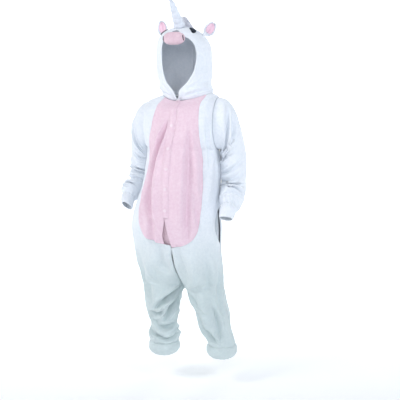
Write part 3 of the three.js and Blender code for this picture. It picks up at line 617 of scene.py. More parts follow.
def pocketPoint(name, u, t):
    end = np.where(u < 0.5, 0.98 - pocketBow(t), 0.985)
    v = pocket["bag"] + (end - pocket["bag"]) * (1 - np.sin(math.pi * u))
    along = np.clip((t - 7) / 3.5, 0, 1)
    apart = ease(u, 0.2, 0.6) - ease(u, 0.75, 1)
    inside = wallThick + 2.4 + pocket["thick"] + pocket["deep"] * (0.4 + 0.6 * np.sin(math.pi * along)) * apart
    cloth = lambda a, b: bodyBase(name, "front", a, b)
    return cloth(v, t) - normalAt(cloth, v, t, facingOf(name, "front")) * inside[..., None]


for name in signOf:
    piece = clothShell(f"pocketBag_{name}", lambda u, t: pocketPoint(name, u, t), spread(0, 1, 40),
                       np.linspace(7, 10.5, 50), facingOf(name, "front"), thick=pocket["thick"])
    finish(piece, plush["liningKnit"], [f"pocket_{name}"])


# ---- leg cuffs

legCuff = makeTable("drop grow", [[0, 0], [9, 5], [25, 6], [39, 0], [48, -11]])


def gatherRipple(seed, angle, count, deep):
    chance = np.random.RandomState(seed)
    total = np.zeros_like(angle)
    for k in range(5):
        n = count + chance.randint(-3, 4)
        total = total + chance.uniform(0.5, 1.0) * np.sin(n * angle + chance.uniform(0, 6.28))
    return deep * total / 2.5


for name in signOf:
    leg = {key: values[-1] for key, values in legs[name].items()}

    def cuffPoint(u, t):
        row = rowAt(legCuff, t)
        angle = 2 * math.pi * u
        ends = np.exp(-(t / 0.7) ** 2) + 0.6 * np.exp(-((4 - t) / 0.7) ** 2)
        grow = row["grow"] + gatherRipple(21 + signOf[name], angle, 15, 1.5) * ends
        grow = grow + 1.2 * unevenness(31 + signOf[name], angle * 55, t * 12, 60)
        x = leg["x"] + (leg["wide"] + grow) * np.cos(angle)
        y = leg["y"] + (leg["deep"] + grow) * np.sin(angle)
        return np.stack([x * signOf[name], y, leg["z"] - row["drop"]], -1)

    piece = clothShell(f"legCuffBand_{name}", cuffPoint, spread(0, 1, 97)[:-1], np.linspace(0.05, 4, 22),
                       -signOf[name], tube=True)
    finish(piece, plush["whitePlush"], [f"leg_cuff_{name}"])


# ---- sleeves

sleeveNames = "xOuter yOuter zOuter xInner yInner zInner deep"
sleeves = {
    "left": makeTable(sleeveNames, [
        [134, 0, -4, 129, 0, -188, 58],
        [165, 4, -14, 137, 6, -194, 62],
        [193, 12, -52, 136, 16, -206, 62],
        [211, 24, -110, 132, 30, -228, 62],
        [222, 36, -176, 132, 33, -254, 58],
        [227, 44, -242, 135, 33, -286, 57],
        [225, 36, -306, 138, 34, -326, 57],
        [224, 8, -350, 145, 10, -360, 56],
        [223, -20, -369, 147, -22, -377, 50],
        [213, -36, -384, 161, -36, -389, 29],
        [217, -43, -398, 158, -43, -402, 30],
        [213, -51, -416, 156, -51, -420, 29],
        [207, -57, -430, 158, -57, -431, 26],
    ]),
    "right": makeTable(sleeveNames, [
        [131, 0, -14, 128, 0, -178, 57],
        [160, 3, -28, 137, 4, -184, 59],
        [184, 9, -66, 139, 12, -196, 60],
        [203, 18, -122, 138, 26, -220, 60],
        [216, 30, -184, 140, 36, -248, 58],
        [226, 38, -248, 146, 40, -280, 57],
        [231, 26, -300, 156, 28, -316, 56],
        [241, -2, -342, 176, -4, -350, 50],
        [246, -16, -354, 184, -18, -361, 44],
        [238, -28, -364, 187, -30, -372, 28],
        [238, -38, -376, 187, -41, -384, 28],
        [234, -47, -388, 185, -52, -397, 27],
        [228, -54, -396, 184, -60, -406, 24],
    ]),
}
# p is the way round: 0 over the shoulder, 0.25 in front, 0.5 under the arm; q is the row
sleeveCreases = {
    "left": makeTable(creaseNames, [
        [0.1, 1.2, 0.27, 1.6, 0.42, 2.4, 6.0, 0.22],
        [0.14, 1.6, 0.24, 2.6, 0.38, 3.6, 5.5, 0.25],
        [0.46, 2.4, 0.36, 3.2, 0.2, 4.0, 4.0, 0.22],
        [0.45, 4.6, 0.3, 4.9, 0.08, 4.6, 4.5, 0.2],
        [0.46, 5.4, 0.28, 5.7, 0.04, 5.2, 4.5, 0.2],
        [0.44, 6.3, 0.24, 6.6, 0.0, 6.2, 5.0, 0.2],
        [-0.1, 6.7, 0.1, 7.2, 0.3, 7.7, 6.0, 0.2],
        [0.0, 7.5, 0.14, 7.9, 0.34, 8.2, 5.0, 0.18],
        [0.9, 1.5, 0.74, 2.2, 0.6, 3.2, 5.0, 0.25],
        [0.56, 4.8, 0.72, 5.0, 0.9, 4.7, 4.0, 0.2],
        [0.56, 5.9, 0.74, 6.2, 0.94, 5.9, 4.5, 0.2],
        [0.6, 7.0, 0.76, 7.3, 0.95, 7.0, 4.0, 0.18],
    ]),
    "right": makeTable(creaseNames, [
        [0.08, 1.4, 0.24, 1.9, 0.42, 2.6, 5.0, 0.22],
        [0.46, 3.1, 0.3, 3.6, 0.12, 3.4, 4.0, 0.2],
        [0.44, 4.6, 0.26, 5.0, 0.02, 4.6, 6.0, 0.19],
        [0.46, 5.3, 0.28, 5.6, 0.04, 5.3, 5.5, 0.17],
        [0.44, 6.2, 0.26, 6.5, 0.0, 6.1, 6.0, 0.18],
        [0.4, 7.0, 0.24, 7.3, 0.04, 7.1, 5.0, 0.16],
        [-0.06, 7.5, 0.1, 7.9, 0.3, 8.0, 4.0, 0.16],
        [0.9, 1.5, 0.74, 2.3, 0.6, 3.2, 5.0, 0.25],
        [0.56, 4.5, 0.72, 4.8, 0.92, 4.6, 4.0, 0.2],
        [0.58, 5.8, 0.74, 6.1, 0.92, 5.8, 4.5, 0.2],
    ]),
}


def sleeveCentre(rows, t):
    row = rowAt(rows, t)
    outer = np.stack([row["xOuter"], row["yOuter"], row["zOuter"]], -1)
    inner = np.stack([row["xInner"], row["yInner"], row["zInner"]], -1)
    return 0.5 * (outer + inner), outer, row["deep"]


def armholePoint(name, around):
    down = np.where(around < 0.5, around * 2, 2 - around * 2)
    t = shoulderRow + (underarmRow - shoulderRow) * down
    one = np.ones_like(t)
    front = bodyBase(name, "front", one, t)
    back = bodyBase(name, "back", one, t)
    point = np.where((around < 0.5)[..., None], front, back)
    return point * np.array([signOf[name], 1, 1])


def sleeveBase(name, u, t):
    rows = sleeves[name]
    middle, outer, deep = sleeveCentre(rows, t)
    along = unit(sleeveCentre(rows, t + 0.1)[0] - sleeveCentre(rows, t - 0.1)[0])
    toOuter = outer - middle
    toFront = unit(np.cross(along, unit(toOuter)))
    angle = 2 * math.pi * u
    point = middle + toOuter * np.cos(angle)[..., None] + toFront * (deep * np.sin(angle))[..., None]
    near = 1 - ease(t, 0, 1.5)
    edge = armholePoint(name, u % 1)
    edge[..., 0] += t * (rows["xOuter"][1] - rows["xOuter"][0])
    point = point * (1 - near)[..., None] + edge * near[..., None]
    return point * np.array([signOf[name], 1, 1])


def sleevePoint(name, u, t):
    tuck = np.maximum(-t, 0)[..., None]    # the seam allowance inside the armhole
    t = np.maximum(t, 0)
    base = sleeveBase(name, u, t)
    middle = sleeveBase(name, np.full_like(u, 0.25), t) * 0.5 + sleeveBase(name, np.full_like(u, 0.75), t) * 0.5
    base = base + (middle - base) * tuck * 0.9 - np.array([signOf[name], 0, 0]) * tuck * 40
    around = (u + 0.25) % 1 - 0.25
    rows = sleeveCreases[name]
    depth = 0
    for shift in (0, 1):
        depth = depth + 1.5 * creaseDepth(rows, around + shift, t, 6.0)
    depth = depth + 1.6 * unevenness(41 + signOf[name], np.sin(2 * math.pi * u) * 60, t * 45, 120)
    inSleeve = ease(t, 0, 0.5) * ease(9 - t, 0, 0.7)
    seamRoll = 0.3 * np.exp(-((t / 0.06) ** 2)) + 1.8 * np.exp(-(((t - 9) / 0.12) ** 2))
    ripple = gatherRipple(51 + signOf[name], 2 * math.pi * u, 13, 1.6) * np.exp(-(((t - 9) / 0.8) ** 2))
    total = depth * inSleeve + seamRoll + ripple
    plain = lambda a, b: sleeveBase(name, a, b)
    return base - normalAt(plain, u, t, signOf[name]) * total[..., None]


for name in signOf:
    at = lambda u, t: sleevePoint(name, u, t)
    piece = clothShell(f"sleevePanel_{name}", at, spread(0, 1, 81)[:-1], np.concatenate([[-0.1, -0.06], np.linspace(0.0, 8.99, 130)]),
                       signOf[name], tube=True)
    finish(piece, plush["whitePlush"], [f"sleeve_{name}"])
    piece = clothShell(f"sleeveCuffBand_{name}", at, spread(0, 1, 81)[:-1], np.linspace(9.01, 12, 30),
                       signOf[name], tube=True)
    finish(piece, plush["whitePlush"], [f"sleeve_cuff_{name}"])
print("sleeves set")


# ---- hood

hood = makeTable("xLeft xRight yFace zFace ySeam zSeam left right", [
    [5, 5, -64, -9, 78, 9, 112, 74],
    [9, 9, -72, 14, 84, 42, 107, 86],
    [44, 40, -70, 52, 96, 86, 104, 97],
    [66, 56, -63, 93, 105, 132, 103, 105],
    [73, 61, -60, 133, 108, 174, 101, 107],
    [70, 60, -62, 166, 100, 205, 94, 104],
    [58, 52, -69, 190, 76, 228, 82, 94],
    [42, 39, -76, 202, 38, 243, 67, 77],
    [26, 25, -81, 209, -4, 248, 50, 57],
    [12, 12, -84, 213, -42, 243, 31, 33],
    [4, 4, -85, 215, -68, 231, 14, 15],
])
hoodLook = {"edgeGap": 1.6, "hem": 13, "hemDeep": 1.4, "columns": 60, "rows": 110}


def neckPoint(name, share):
    share = np.clip(share, -0.01, 1.01)
    v = np.where(share < 0.5, share * 2, 2 - share * 2)
    zero = np.zeros_like(v)
    point = np.where((share < 0.5)[..., None], bodyBase(name, "front", v, zero), bodyBase(name, "back", v, zero))
    point = point * np.array([signOf[name], 1, 1])
    point[..., 2] += 0.4
    return point


def hoodRow(k, name, s):
    row = {key: hood[key][k] for key in hood}
    wide = row[name]
    start = math.asin(min(1, row["xLeft" if name == "left" else "xRight"] / wide))
    half = 1 / (1 + math.cos(start))
    angle = start + (math.pi - start) * s
    along = half * (math.cos(start) - np.cos(angle))
    return np.stack([wide * np.sin(angle) + 0.15,
                     row["yFace"] + (row["ySeam"] - row["yFace"]) * along,
                     row["zFace"] + (row["zSeam"] - row["zFace"]) * along], -1)


def hoodBase(name, s, t):
    s, t = np.broadcast_arrays(np.asarray(s, float), np.asarray(t, float))
    rows = [neckPoint(name, 0.015 + 0.985 * s)]
    rows += [hoodRow(k, name, s) for k in range(1, 11)]
    rows = np.stack(rows)
    i = np.clip(np.floor(t).astype(int), 0, 9)
    pick = lambda k: np.take_along_axis(rows, np.clip(k, 0, 10)[None, ..., None], 0)[0]
    b, c = pick(i), pick(i + 1)
    a = np.where((i > 0)[..., None], pick(i - 1), 2 * b - c)
    d = np.where((i + 2 < 11)[..., None], pick(i + 2), 2 * c - b)
    f = (t - i)[..., None]
    slope0 = easySlope(b - a, c - b)
    slope1 = easySlope(c - b, d - c)
    point = (b * (2 * f**3 - 3 * f**2 + 1) + c * (3 * f**2 - 2 * f**3)
             + slope0 * (f**3 - 2 * f**2 + f) + slope1 * (f**3 - f**2))
    return point * np.array([signOf[name], 1, 1])


hoodCreases = {
    "left": makeTable(creaseNames, [
        [0.06, 0.5, 0.2, 0.9, 0.42, 0.8, 4.0, 0.25],    # collar, under the chin
        [0.05, 1.3, 0.2, 1.7, 0.4, 1.9, 3.5, 0.3],
        [0.3, 0.4, 0.45, 1.2, 0.5, 2.2, 3.0, 0.5],
        [0.7, 0.4, 0.66, 1.3, 0.72, 2.4, 4.0, 0.5],
        [0.5, 3.0, 0.62, 4.2, 0.8, 5.2, 2.5, 0.6],
    ]),
    "right": makeTable(creaseNames, [
        [0.06, 0.4, 0.2, 0.8, 0.4, 0.9, 4.0, 0.25],
        [0.08, 1.3, 0.22, 1.8, 0.38, 2.2, 3.0, 0.3],
        [0.66, 0.5, 0.7, 1.4, 0.64, 2.4, 4.0, 0.5],
        [0.5, 2.6, 0.6, 3.8, 0.76, 5.0, 2.5, 0.6],
    ]),
}


def hoodPoint(name, s, t):
    base = hoodBase(name, s, t)
    plain = lambda a, b: hoodBase(name, a, b)
    depth = creaseDepth(hoodCreases[name], s, t, 5.0) + 1.2 * unevenness(61 + signOf[name], s * 200, t * 34, 140)
    fromEdge = s * 260
    depth = depth * ease(fromEdge, 0, 26) * ease((1 - s) * 260, 0, 26) * ease(t, 0, 0.6)
    hem = hoodLook["hemDeep"] * np.exp(-(((fromEdge - hoodLook["hem"]) / 2.0) ** 2))
    seamRoll = 1.2 * np.exp(-((((1 - s) * 260) / 3.0) ** 2)) + 0.5 * np.exp(-((t * 30 / 3.0) ** 2))
    edgeRoll = 1.0 * np.exp(-((fromEdge / 2.5) ** 2))
    point = base - normalAt(plain, s, t, signOf[name]) * (depth + hem + seamRoll + edgeRoll)[..., None]
    # the two face edges are drawn together above the top button
    close = (1 - ease(t, 0.1, 0.6)) * np.exp(-((s / 0.05) ** 2))
    point[..., 0] -= signOf[name] * close * np.maximum(0, signOf[name] * point[..., 0] - hoodLook["edgeGap"])
    return point


for name in signOf:
    edgeRows = np.concatenate([np.linspace(0, 0.12, 16), np.linspace(0.12, 1, hoodLook["columns"])[1:]])
    piece = clothShell(f"hoodSide_{name}", lambda s, t: hoodPoint(name, s, t), edgeRows,
                       np.linspace(0.0, 10, hoodLook["rows"]), signOf[name])
    finish(piece, plush["whitePlush"], [f"hood_{name}"])
print("hood closed")


def onHood(name, s, t, offset):
    s = np.asarray(s, float)
    t = np.asarray(t, float)
    plain = lambda a, b: hoodBase(name, a, b)
    return plain(s, t) + normalAt(plain, s, t, signOf[name]) * np.asarray(offset, float)[..., None]


def hoodSteps(name, s, t):
    step = 0.01
    here = hoodBase(name, s, t)
    acrossStep = np.linalg.norm(hoodBase(name, s - step, t) - here) / step
    upStep = np.linalg.norm(hoodBase(name, s, t - step) - here) / step
    return acrossStep, upStep


# ---- muzzle: a stuffed oblong with rounded corners

muzzle = {"wide": 76, "deep": 38, "high": 43, "x": 8, "y": -107, "z": 196, "power": 2.8, "around": 72, "down": 48}


def stuffedPoints(form):
    u, w = np.meshgrid(spread(0, 2 * math.pi, form["around"] + 1)[:-1],
                       spread(0.03, math.pi - 0.03, form["down"]))
    ball = np.stack([np.sin(w) * np.cos(u), np.sin(w) * np.sin(u), np.cos(w)], -1)
    size = np.sum(np.abs(ball) ** form["power"], -1) ** (-1 / form["power"])
    return ball * size[..., None], u, w


points, u, w = stuffedPoints(muzzle)
form = points * np.array([muzzle["wide"], muzzle["deep"], muzzle["high"]]) / 2
puff = 1 + 0.018 * unevenness(71, form[..., 0] * 1.6, form[..., 2] * 1.6, 50)
form = form * puff[..., None]
# the ends are drawn in a little where the stuffing is thin
pinch = 1 - 0.1 * (np.abs(form[..., 0]) / (muzzle["wide"] / 2)) ** 4
form[..., 2] *= pinch
form = form + np.array([muzzle["x"], muzzle["y"], muzzle["z"]])
piece = loft("muzzlePad", list(form))
finish(piece, plush["rosePlush"], ["muzzle"])

# painted shadow: a dark bar at each end of it, standing in for the shade in the gap where the muzzle's end stands
# off the hood
mouth = {"long": 18, "wide": 5, "thick": 2.2, "x": 36.3, "lean": 14}
for name in signOf:
    side = signOf[name]
    rings = []
    for k in range(22):
        f = k / 21
        along = (f - 0.5) * mouth["long"]
        half = mouth["wide"] / 2 * math.sqrt(max(0.02, 1 - (2 * f - 1) ** 4))
        lean = math.radians(mouth["lean"])
        x = muzzle["x"] + side * (mouth["x"] - math.sin(lean) * along * 0.35)
        z = muzzle["z"] + math.cos(lean) * along
        nx = abs(x - muzzle["x"]) / (muzzle["wide"] / 2)
        nz = abs(z - muzzle["z"]) / (muzzle["high"] / 2)
        inside = max(0.0, 1 - nx ** muzzle["power"] - min(0.98, nz) ** muzzle["power"])
        y = muzzle["y"] - (muzzle["deep"] / 2) * inside ** (1 / muzzle["power"])
        ring = []
        for j in range(12):
            a = 2 * math.pi * j / 12
            ridge = 0.18 * math.sin(k * 2.4)
            ring.append((x + side * half * math.cos(a), y - 0.6 + (mouth["thick"] + ridge) * math.sin(a) * -0.5, z))
        rings.append(ring)
    piece = loft(f"muzzleEndShadowBar_{name}", rings)
    finish(piece, plush["eyeFelt"], [])


# ---- horn: a stuffed cone drawn in by rounds of thread

horn = {"row": 9.0, "aside": 3, "foot": 18.5, "length": 122, "forward": 38, "sideways": 4, "bands": 6, "puff": 4.6}


def hornRadius(along):
    taper = horn["foot"] * (1 - 0.72 * along) * math.sqrt(max(0, 1 - along ** 9))
    return taper + horn["puff"] * (abs(math.sin(math.pi * horn["bands"] * along)) ** 0.55 - 0.35) * (1 - 0.4 * along)


acrossStep, upStep = hoodSteps("left", np.array(1.0), np.array(horn["row"]))
forward = math.radians(horn["forward"])
sideways = math.radians(horn["sideways"])
axis = unit(np.array([-math.sin(sideways), -math.sin(forward), math.cos(forward)]))
toRight = unit(np.array([1.0, 0, 0]) - axis * axis[0])
toRear = np.cross(axis, toRight)
base = onHood("left", 1 - horn["aside"] / acrossStep, horn["row"], 0)
rings = []
angles = 2 * math.pi * np.arange(48) / 48
for size in (0.1, 0.5, 0.8, 0.97):
    across = horn["aside"] + horn["foot"] * size * np.cos(angles)
    down = horn["foot"] * size * np.sin(angles)
    s = 1 - np.abs(across) / acrossStep
    t = horn["row"] - down / upStep
    ring = np.where((across >= 0)[:, None], onHood("left", s, t, np.full(48, 0.5)),
                    onHood("right", s, t, np.full(48, 0.5)))
    rings.append(ring)
wrinkle = lambda a, f: 0.5 * np.sin(5 * a + 9 * f) + 0.4 * np.sin(9 * a - 17 * f)
for along in np.linspace(0.05, 0.996, 84):
    radius = hornRadius(along) + wrinkle(angles, along) * (1 - along)
    rings.append(base + axis * horn["length"] * along + np.outer(radius * np.cos(angles), toRight)
                 + np.outer(radius * np.sin(angles), toRear))
piece = loft("hornStuffed", rings)
finish(piece, plush["hornFleece"], ["horn"])
print("muzzle and horn stuffed")


# ---- mane: long pile on a core along the crown seam

mane = makeTable("row high wide", [
    [8.3, 6, 9], [8.1, 38, 12], [7.7, 45, 14], [7, 37, 14], [6, 29, 14],
    [5, 24, 14], [4, 23, 14], [3, 22, 14], [2, 20, 13], [1.2, 12, 9],
])
maneLook = {"core": 0.8, "tufts": 900, "tuftLong": 12, "tuftWide": 2.4}


def maneFrame(k):
    row = {key: alongValues(mane[key], k) for key in mane}
    at = lambda a, b: hoodBase("left", a, b)
    one = np.ones_like(row["row"])
    up = normalAt(at, one, row["row"], 1)
    up[..., 0] = 0
    up = unit(up)
    foot = at(one, row["row"]) + up * 0.8
    foot[..., 0] = 0
    return foot, up, row["high"], row["wide"]


ks = np.linspace(0.05, 8.95, 90)
foot, up, high, wide = maneFrame(ks)
outline = [(-1, 0), (-1.02, 0.3), (-0.95, 0.6), (-0.72, 0.86), (-0.36, 0.98), (0, 1), (0.36, 0.98), (0.72, 0.86),
           (0.95, 0.6), (1.02, 0.3), (1, 0), (0.5, 0), (0, 0), (-0.5, 0)]
rings = []
for k in range(len(ks)):
    ring = []
    for across, lift in outline:
        bump = 1 + 0.07 * math.sin(k * 0.9 + across * 3) + 0.05 * math.sin(k * 2.3 - across * 5)
        point = foot[k] + up[k] * (0.4 + lift * high[k] * maneLook["core"] * bump)
        point = point + np.array([across * wide[k] * maneLook["core"], 0, 0])
        ring.append(point)
    rings.append(ring)
core = loft("maneCore", rings)
chance = random.Random(7)
points, faces = [], []
for n in range(maneLook["tufts"]):
    k = chance.uniform(0.15, 8.85)
    f, upHere, highHere, wideHere = maneFrame(np.array(k))
    lean = chance.uniform(-1, 1)
    angle = lean * math.pi * 0.52
    out = np.array([math.sin(angle), 0, 0]) + upHere * math.cos(angle)
    downHood = np.cross(np.array([1.0, 0, 0]), upHere) * -1
    start = f + np.array([math.sin(angle) * wideHere * maneLook["core"] * 0.8, 0, 0])
    start = start + upHere * (max(0.05, math.cos(angle)) * highHere * maneLook["core"] * 0.8)
    long = maneLook["tuftLong"] * chance.uniform(0.7, 1.05) * (0.45 + 0.55 * min(1, highHere / 20))
    side = unit(np.cross(out, downHood))
    comb = chance.uniform(-0.1, 0.7)
    first = len(points)
    for step in range(4):
        g = step / 3
        centre = start + out * long * g + downHood * long * comb * g * g * 0.8
        centre = centre + np.array([0, 0, -1.0]) * long * 0.25 * g * g
        width = maneLook["tuftWide"] * (1 - g) ** 0.7 + 0.15
        for j in range(4):
            a = 2 * math.pi * j / 4 + lean
            points.append(centre + side * width * math.cos(a) + downHood * width * math.sin(a) * 0.6)
    for step in range(3):
        for j in range(4):
            n1 = (j + 1) % 4
            faces.append((first + step * 4 + j, first + step * 4 + n1, first + (step + 1) * 4 + n1,
                          first + (step + 1) * 4 + j))
    faces.append(tuple(first + 12 + j for j in range(4)))
    faces.append(tuple(first + j for j in range(4))[::-1])
tufts = meshFrom("maneTufts", points, faces)
finish(core, plush["lilacPile"], ["mane"])
finish(tufts, plush["lilacPile"], [])
print("mane combed")


# ---- ears

ear = {
    "left": {"front": (0.34, 6.25), "back": (0.55, 6.0), "outward": 34, "turned": 38},
    "right": {"front": (0.45, 6.4), "back": (0.65, 6.15), "outward": 10, "turned": 4},
    "long": 56, "wide": 38, "cup": 10, "root": 0.22, "lining": 0.8, "clear": 2.0,
}


def earPoint(name, u, v, share, curl):
    place = ear[name]
    lean = math.radians(place["outward"])
    turned = math.radians(place["turned"])
    across = np.array([math.cos(turned), math.sin(turned), 0])
    forward = np.array([math.sin(turned), -math.cos(turned), 0])
    up = np.array([0, 0, math.cos(lean)]) + across * math.sin(lean)
    across = across * math.cos(lean) + np.array([0, 0, -math.sin(lean)])
    side = (2 * u - 1) * share
    rise = (1 - share) * 1.2 + v * (1 - (1 - share) * 1.5)
    leaf = (0.66 + 0.34 * np.sin(math.pi * v)) * np.sqrt(np.maximum(0, 1 - (0.985 * v) ** 4))

    def footAt(f):
        s = place["front"][0] + (place["back"][0] - place["front"][0]) * f
        t = place["front"][1] + (place["back"][1] - place["front"][1]) * f
        return onHood(name, s, t, np.full(np.shape(f), ear["clear"])) * np.array([signOf[name], 1, 1])

    middle = footAt(np.full(np.shape(u), 0.5))
    point = middle + up * (ear["long"] * rise)[..., None]
    point = point + across * (side * (ear["wide"] / 2) * leaf)[..., None]
    cup = ear["cup"] * side * side - curl * np.exp(-((side / 0.16) ** 2)) * np.sin(math.pi * np.clip(v, 0, 1))
    point = point + forward * cup[..., None]
    rooted = (1 - ease(rise, 0, ear["root"]))[..., None]
    point = point * (1 - rooted) + footAt(0.5 + side / 2) * rooted
    return point * np.array([signOf[name], 1, 1])


for name in signOf:
    outer = lambda u, v: earPoint(name, u, v, 1.0, 3.0)
    piece = clothShell(f"earLeaf_{name}", outer, spread(0, 1, 30), spread(0, 1, 34), signOf[name])
    finish(piece, plush["whitePlush"], [f"ear_{name}"])

    def lining(u, v):
        leaf = lambda a, b: earPoint(name, a, b, ear["lining"], 3.0)
        return leaf(u, v) + normalAt(leaf, u, v, signOf[name]) * (0.7 + 2.6)

    piece = clothShell(f"earLining_{name}", lining, spread(0, 1, 28), spread(0, 1, 30), signOf[name], thick=2.6)
    finish(piece, plush["earPink"], [f"ear_lining_{name}"])


# ---- eyes: ovals of felt

eye = {
    "left": {"row": 7.9, "share": 0.46}, "right": {"row": 7.65, "share": 0.45},
    "long": 27, "high": 11, "turn": 28,
}
for name in signOf:
    row, share = eye[name]["row"], eye[name]["share"]
    acrossStep, upStep = hoodSteps(name, np.array(share), np.array(row))
    turn = math.radians(eye["turn"])
    rings = []
    for size, lift in ((0.05, 0.2), (0.5, 0.2), (0.9, 0.2), (1, 0.5), (1.01, 1.2), (0.96, 2.0), (0.85, 2.6),
                       (0.6, 3.1), (0.3, 3.4), (0.05, 3.5)):
        angles = 2 * math.pi * np.arange(48) / 48
        x = eye["long"] * size * np.cos(angles)
        y = eye["high"] * size * np.sin(angles)
        across = (x * math.cos(turn) - y * math.sin(turn)) / acrossStep
        down = (x * math.sin(turn) + y * math.cos(turn)) / upStep
        rings.append(onHood(name, share + across, row + down, np.full(48, lift)))
    piece = loft(f"eyeOval_{name}", rings)
    finish(piece, plush["eyeFelt"], [f"eye_{name}"])


# ---- placket and buttons

placket = {"top": 0.15, "foot": 8.1, "wide": 24, "thick": 2.5, "aside": 4}
buttonHeights = [-20, -104, -184, -254, -324, -399]
button = {"radius": 6.0, "thick": 3.0, "dish": 0.8}


def overFront(across, t, offset):
    isLeft = across >= 0
    parts = []
    for name in signOf:
        row = rowAt(bodyRows[name], t)
        v = np.abs(across) / ((row["outer"] - row["inner"]) * 0.5 * math.pi)
        at = lambda a, b: bodyPoint(name, "front", a, b, 0)
        plain = lambda a, b: bodyBase(name, "front", a, b)
        parts.append(at(v, t) + normalAt(plain, v, t, facingOf(name, "front")) * np.asarray(offset)[..., None])
    return np.where(isLeft[..., None], parts[0], parts[1])


def placketPoint(u, t):
    across = placket["wide"] * (u - 0.5)
    fromEdge = placket["wide"] / 2 - np.abs(across)
    across = across + placket["aside"]
    rise = 1.1 + 1.6 * ease(fromEdge, 0, 3.0) - 0.8 * np.exp(-(((fromEdge - 3.5) / 0.9) ** 2))
    ripple = 0.6 * np.sin(t * 9.0) * np.sin(t * 3.7)
    return overFront(across, t, rise + ripple)


piece = clothShell("placketBand", placketPoint, spread(0, 1, 24), np.linspace(placket["top"], placket["foot"], 150),
                   facingOf("left", "front"), thick=0.9)
finish(piece, plush["pinkPlush"], ["placket"])

profile = [(0.02, 0), (5.2, 0), (6, 0.7), (6.05, 1.6), (5.7, 2.5), (5.1, 2.95), (4.5, 2.8), (3.9, 2.35), (2, 2.2),
           (0.02, 2.2)]
for n, z in enumerate(buttonHeights):
    low, high = 0.0, 10.0
    while high - low > 0.001:
        middle = (low + high) / 2
        low, high = (middle, high) if float(alongValues(torso["zFront"], middle)) > z else (low, middle)
    t = np.array(low)
    out = normalAt(lambda a, b: bodyBase("left", "front", a, b), np.array(0.03), t, facingOf("left", "front"))
    centre = overFront(np.array(placket["aside"] + 1.0), t, np.array(3.4))
    sideways = unit(np.cross(out, np.array([0, 0, 1.0])))
    upward = np.cross(sideways, out)
    rings = []
    for radius, height in profile:
        ring = [centre + out * height + sideways * radius * math.cos(a) + upward * radius * math.sin(a)
                for a in 2 * math.pi * np.arange(32) / 32]
        rings.append(ring)
    piece = loft(f"snapButton_{n + 1}", rings)
    finish(piece, resin, [f"button_{n + 1}"])
# the stand goes on down behind the slit
def standPoint(u, t):
    across = 64 * (u - 0.52)
    sag = 5.0 + 5.0 * ease(t, 8.0, 8.6)
    return overFront(across, t, -sag * np.ones_like(across))


piece = clothShell("buttonStand", standPoint, spread(0, 1, 24), np.linspace(7.7, 9.9, 60),
                   facingOf("left", "front"), thick=1.6)
finish(piece, plush["rosePlush"], [])
print("placket buttoned")


# ---- floor, light and camera

# A round floor that curves up into a low wall, painted matt white. Painted light: it glows, faintly in front and
# more behind the garment, as a lit sweep does.
studio = {
    "azimuth": 22.0, "floorZ": -1.06, "floorRadius": 3.6, "curve": 1.2, "wallTop": 1.5,
    "paint": "F0F2F4", "glowBack": 0.8, "glowFront": 0.1,
    "airColour": "EFF6FF", "airStrength": 0.36,
}


def sweepMaterial():
    material, shader = newMaterial("matWhitePaintGlowing")
    place = addNode(material, "ShaderNodeTexCoord").outputs["Object"]
    split = addNode(material, "ShaderNodeSeparateXYZ", links={"Vector": place})
    glow = addNode(material, "ShaderNodeMapRange", {"interpolation_type": "SMOOTHSTEP"},
                   {"Value": split.outputs["Y"]})
    glow.inputs["From Min"].default_value = -0.6
    glow.inputs["From Max"].default_value = 1.6
    glow.inputs["To Min"].default_value = studio["glowFront"]
    glow.inputs["To Max"].default_value = studio["glowBack"]
    material.node_tree.links.new(glow.outputs["Result"], shader.inputs["Emission Strength"])
    shader.inputs["Emission Color"].default_value = linearColour("FFFFFF")
    shader.inputs["Base Color"].default_value = linearColour(studio["paint"])
    shader.inputs["Roughness"].default_value = 0.9
    shader.inputs["Specular IOR Level"].default_value = 0.1
    return material


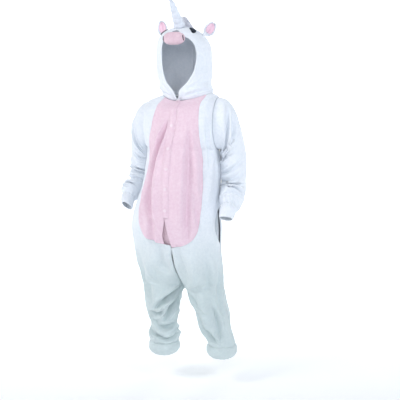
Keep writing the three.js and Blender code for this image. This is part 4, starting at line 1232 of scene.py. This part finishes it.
profile = [(0.0, 0.0), (1.2, 0.0), (2.4, 0.0), (studio["floorRadius"], 0.0)]
for k in range(1, 13):
    a = 0.5 * math.pi * k / 12
    profile.append((studio["floorRadius"] + studio["curve"] * math.sin(a), studio["curve"] * (1 - math.cos(a))))
profile.append((studio["floorRadius"] + studio["curve"], studio["wallTop"] - studio["floorZ"]))
floorMesh = bpy.data.meshes.new("studioFloor")
build = bmesh.new()
middle = build.verts.new((0, 0, 0))
previous = None
for radius, height in profile[1:]:
    ring = [build.verts.new((radius * math.cos(a), radius * math.sin(a), height))
            for a in 2 * math.pi * np.arange(64) / 64]
    for i in range(64):
        n = (i + 1) % 64
        build.faces.new((middle, ring[i], ring[n]) if previous is None
                        else (previous[i], ring[i], ring[n], previous[n]))
    previous = ring
build.to_mesh(floorMesh)
build.free()
floorMesh.polygons.foreach_set("use_smooth", [True] * len(floorMesh.polygons))
floor = link("studioFloor", floorMesh)
floor.location.z = studio["floorZ"]
floor.rotation_euler.z = math.radians(studio["azimuth"])
floor.data.materials.append(sweepMaterial())

world = bpy.data.worlds.new("studioAir")
bpy.context.scene.world = world
world.use_nodes = True
air = world.node_tree.nodes["Background"]
air.inputs["Color"].default_value = linearColour(studio["airColour"])
air.inputs["Strength"].default_value = studio["airStrength"]

lampTable = [
    # name, place, size, power, colour
    ("keyPanel", (-1.5, -1.7, 1.35), 0.8, 24, "FFFBF8"),
    ("frontPanel", (0.9, -2.6, 0.45), 0.9, 13, "FFFFFF"),
    ("fillPanel", (2.1, -1.1, 1.15), 0.9, 19, "F8FAFF"),
    ("rearPanel", (0.3, 2.6, 1.6), 1.6, 14, "F6F9FF"),
]
for lampName, place, size, power, colour in lampTable:
    lamp = bpy.data.lights.new(lampName, "AREA")
    lamp.size = size
    lamp.energy = power
    lamp.color = linearColour(colour)[:3]
    holder = bpy.data.objects.new(lampName, lamp)
    bpy.context.scene.collection.objects.link(holder)
    holder.location = place
    toward = Vector((0, 0, -0.25)) - Vector(place)
    holder.rotation_euler = toward.to_track_quat("-Z", "Y").to_euler()

view = {"azimuth": studio["azimuth"], "distance": 2.5, "height": -0.1, "aside": 0.0592, "aimHeight": -0.3774, "lens": 61.2}
turned = math.radians(view["azimuth"])
camera = bpy.data.objects.new("studioCamera", bpy.data.cameras.new("studioCamera"))
bpy.context.scene.collection.objects.link(camera)
camera.location = (math.sin(turned) * view["distance"], -math.cos(turned) * view["distance"], view["height"])
aim = Vector((math.cos(turned) * view["aside"], math.sin(turned) * view["aside"], view["aimHeight"]))
camera.rotation_euler = (aim - camera.location).to_track_quat("-Z", "Y").to_euler()
camera.data.lens = view["lens"]
camera.data.sensor_width = 36
bpy.context.scene.camera = camera
bpy.context.scene.view_settings.view_transform = "Standard"
print("camera set")

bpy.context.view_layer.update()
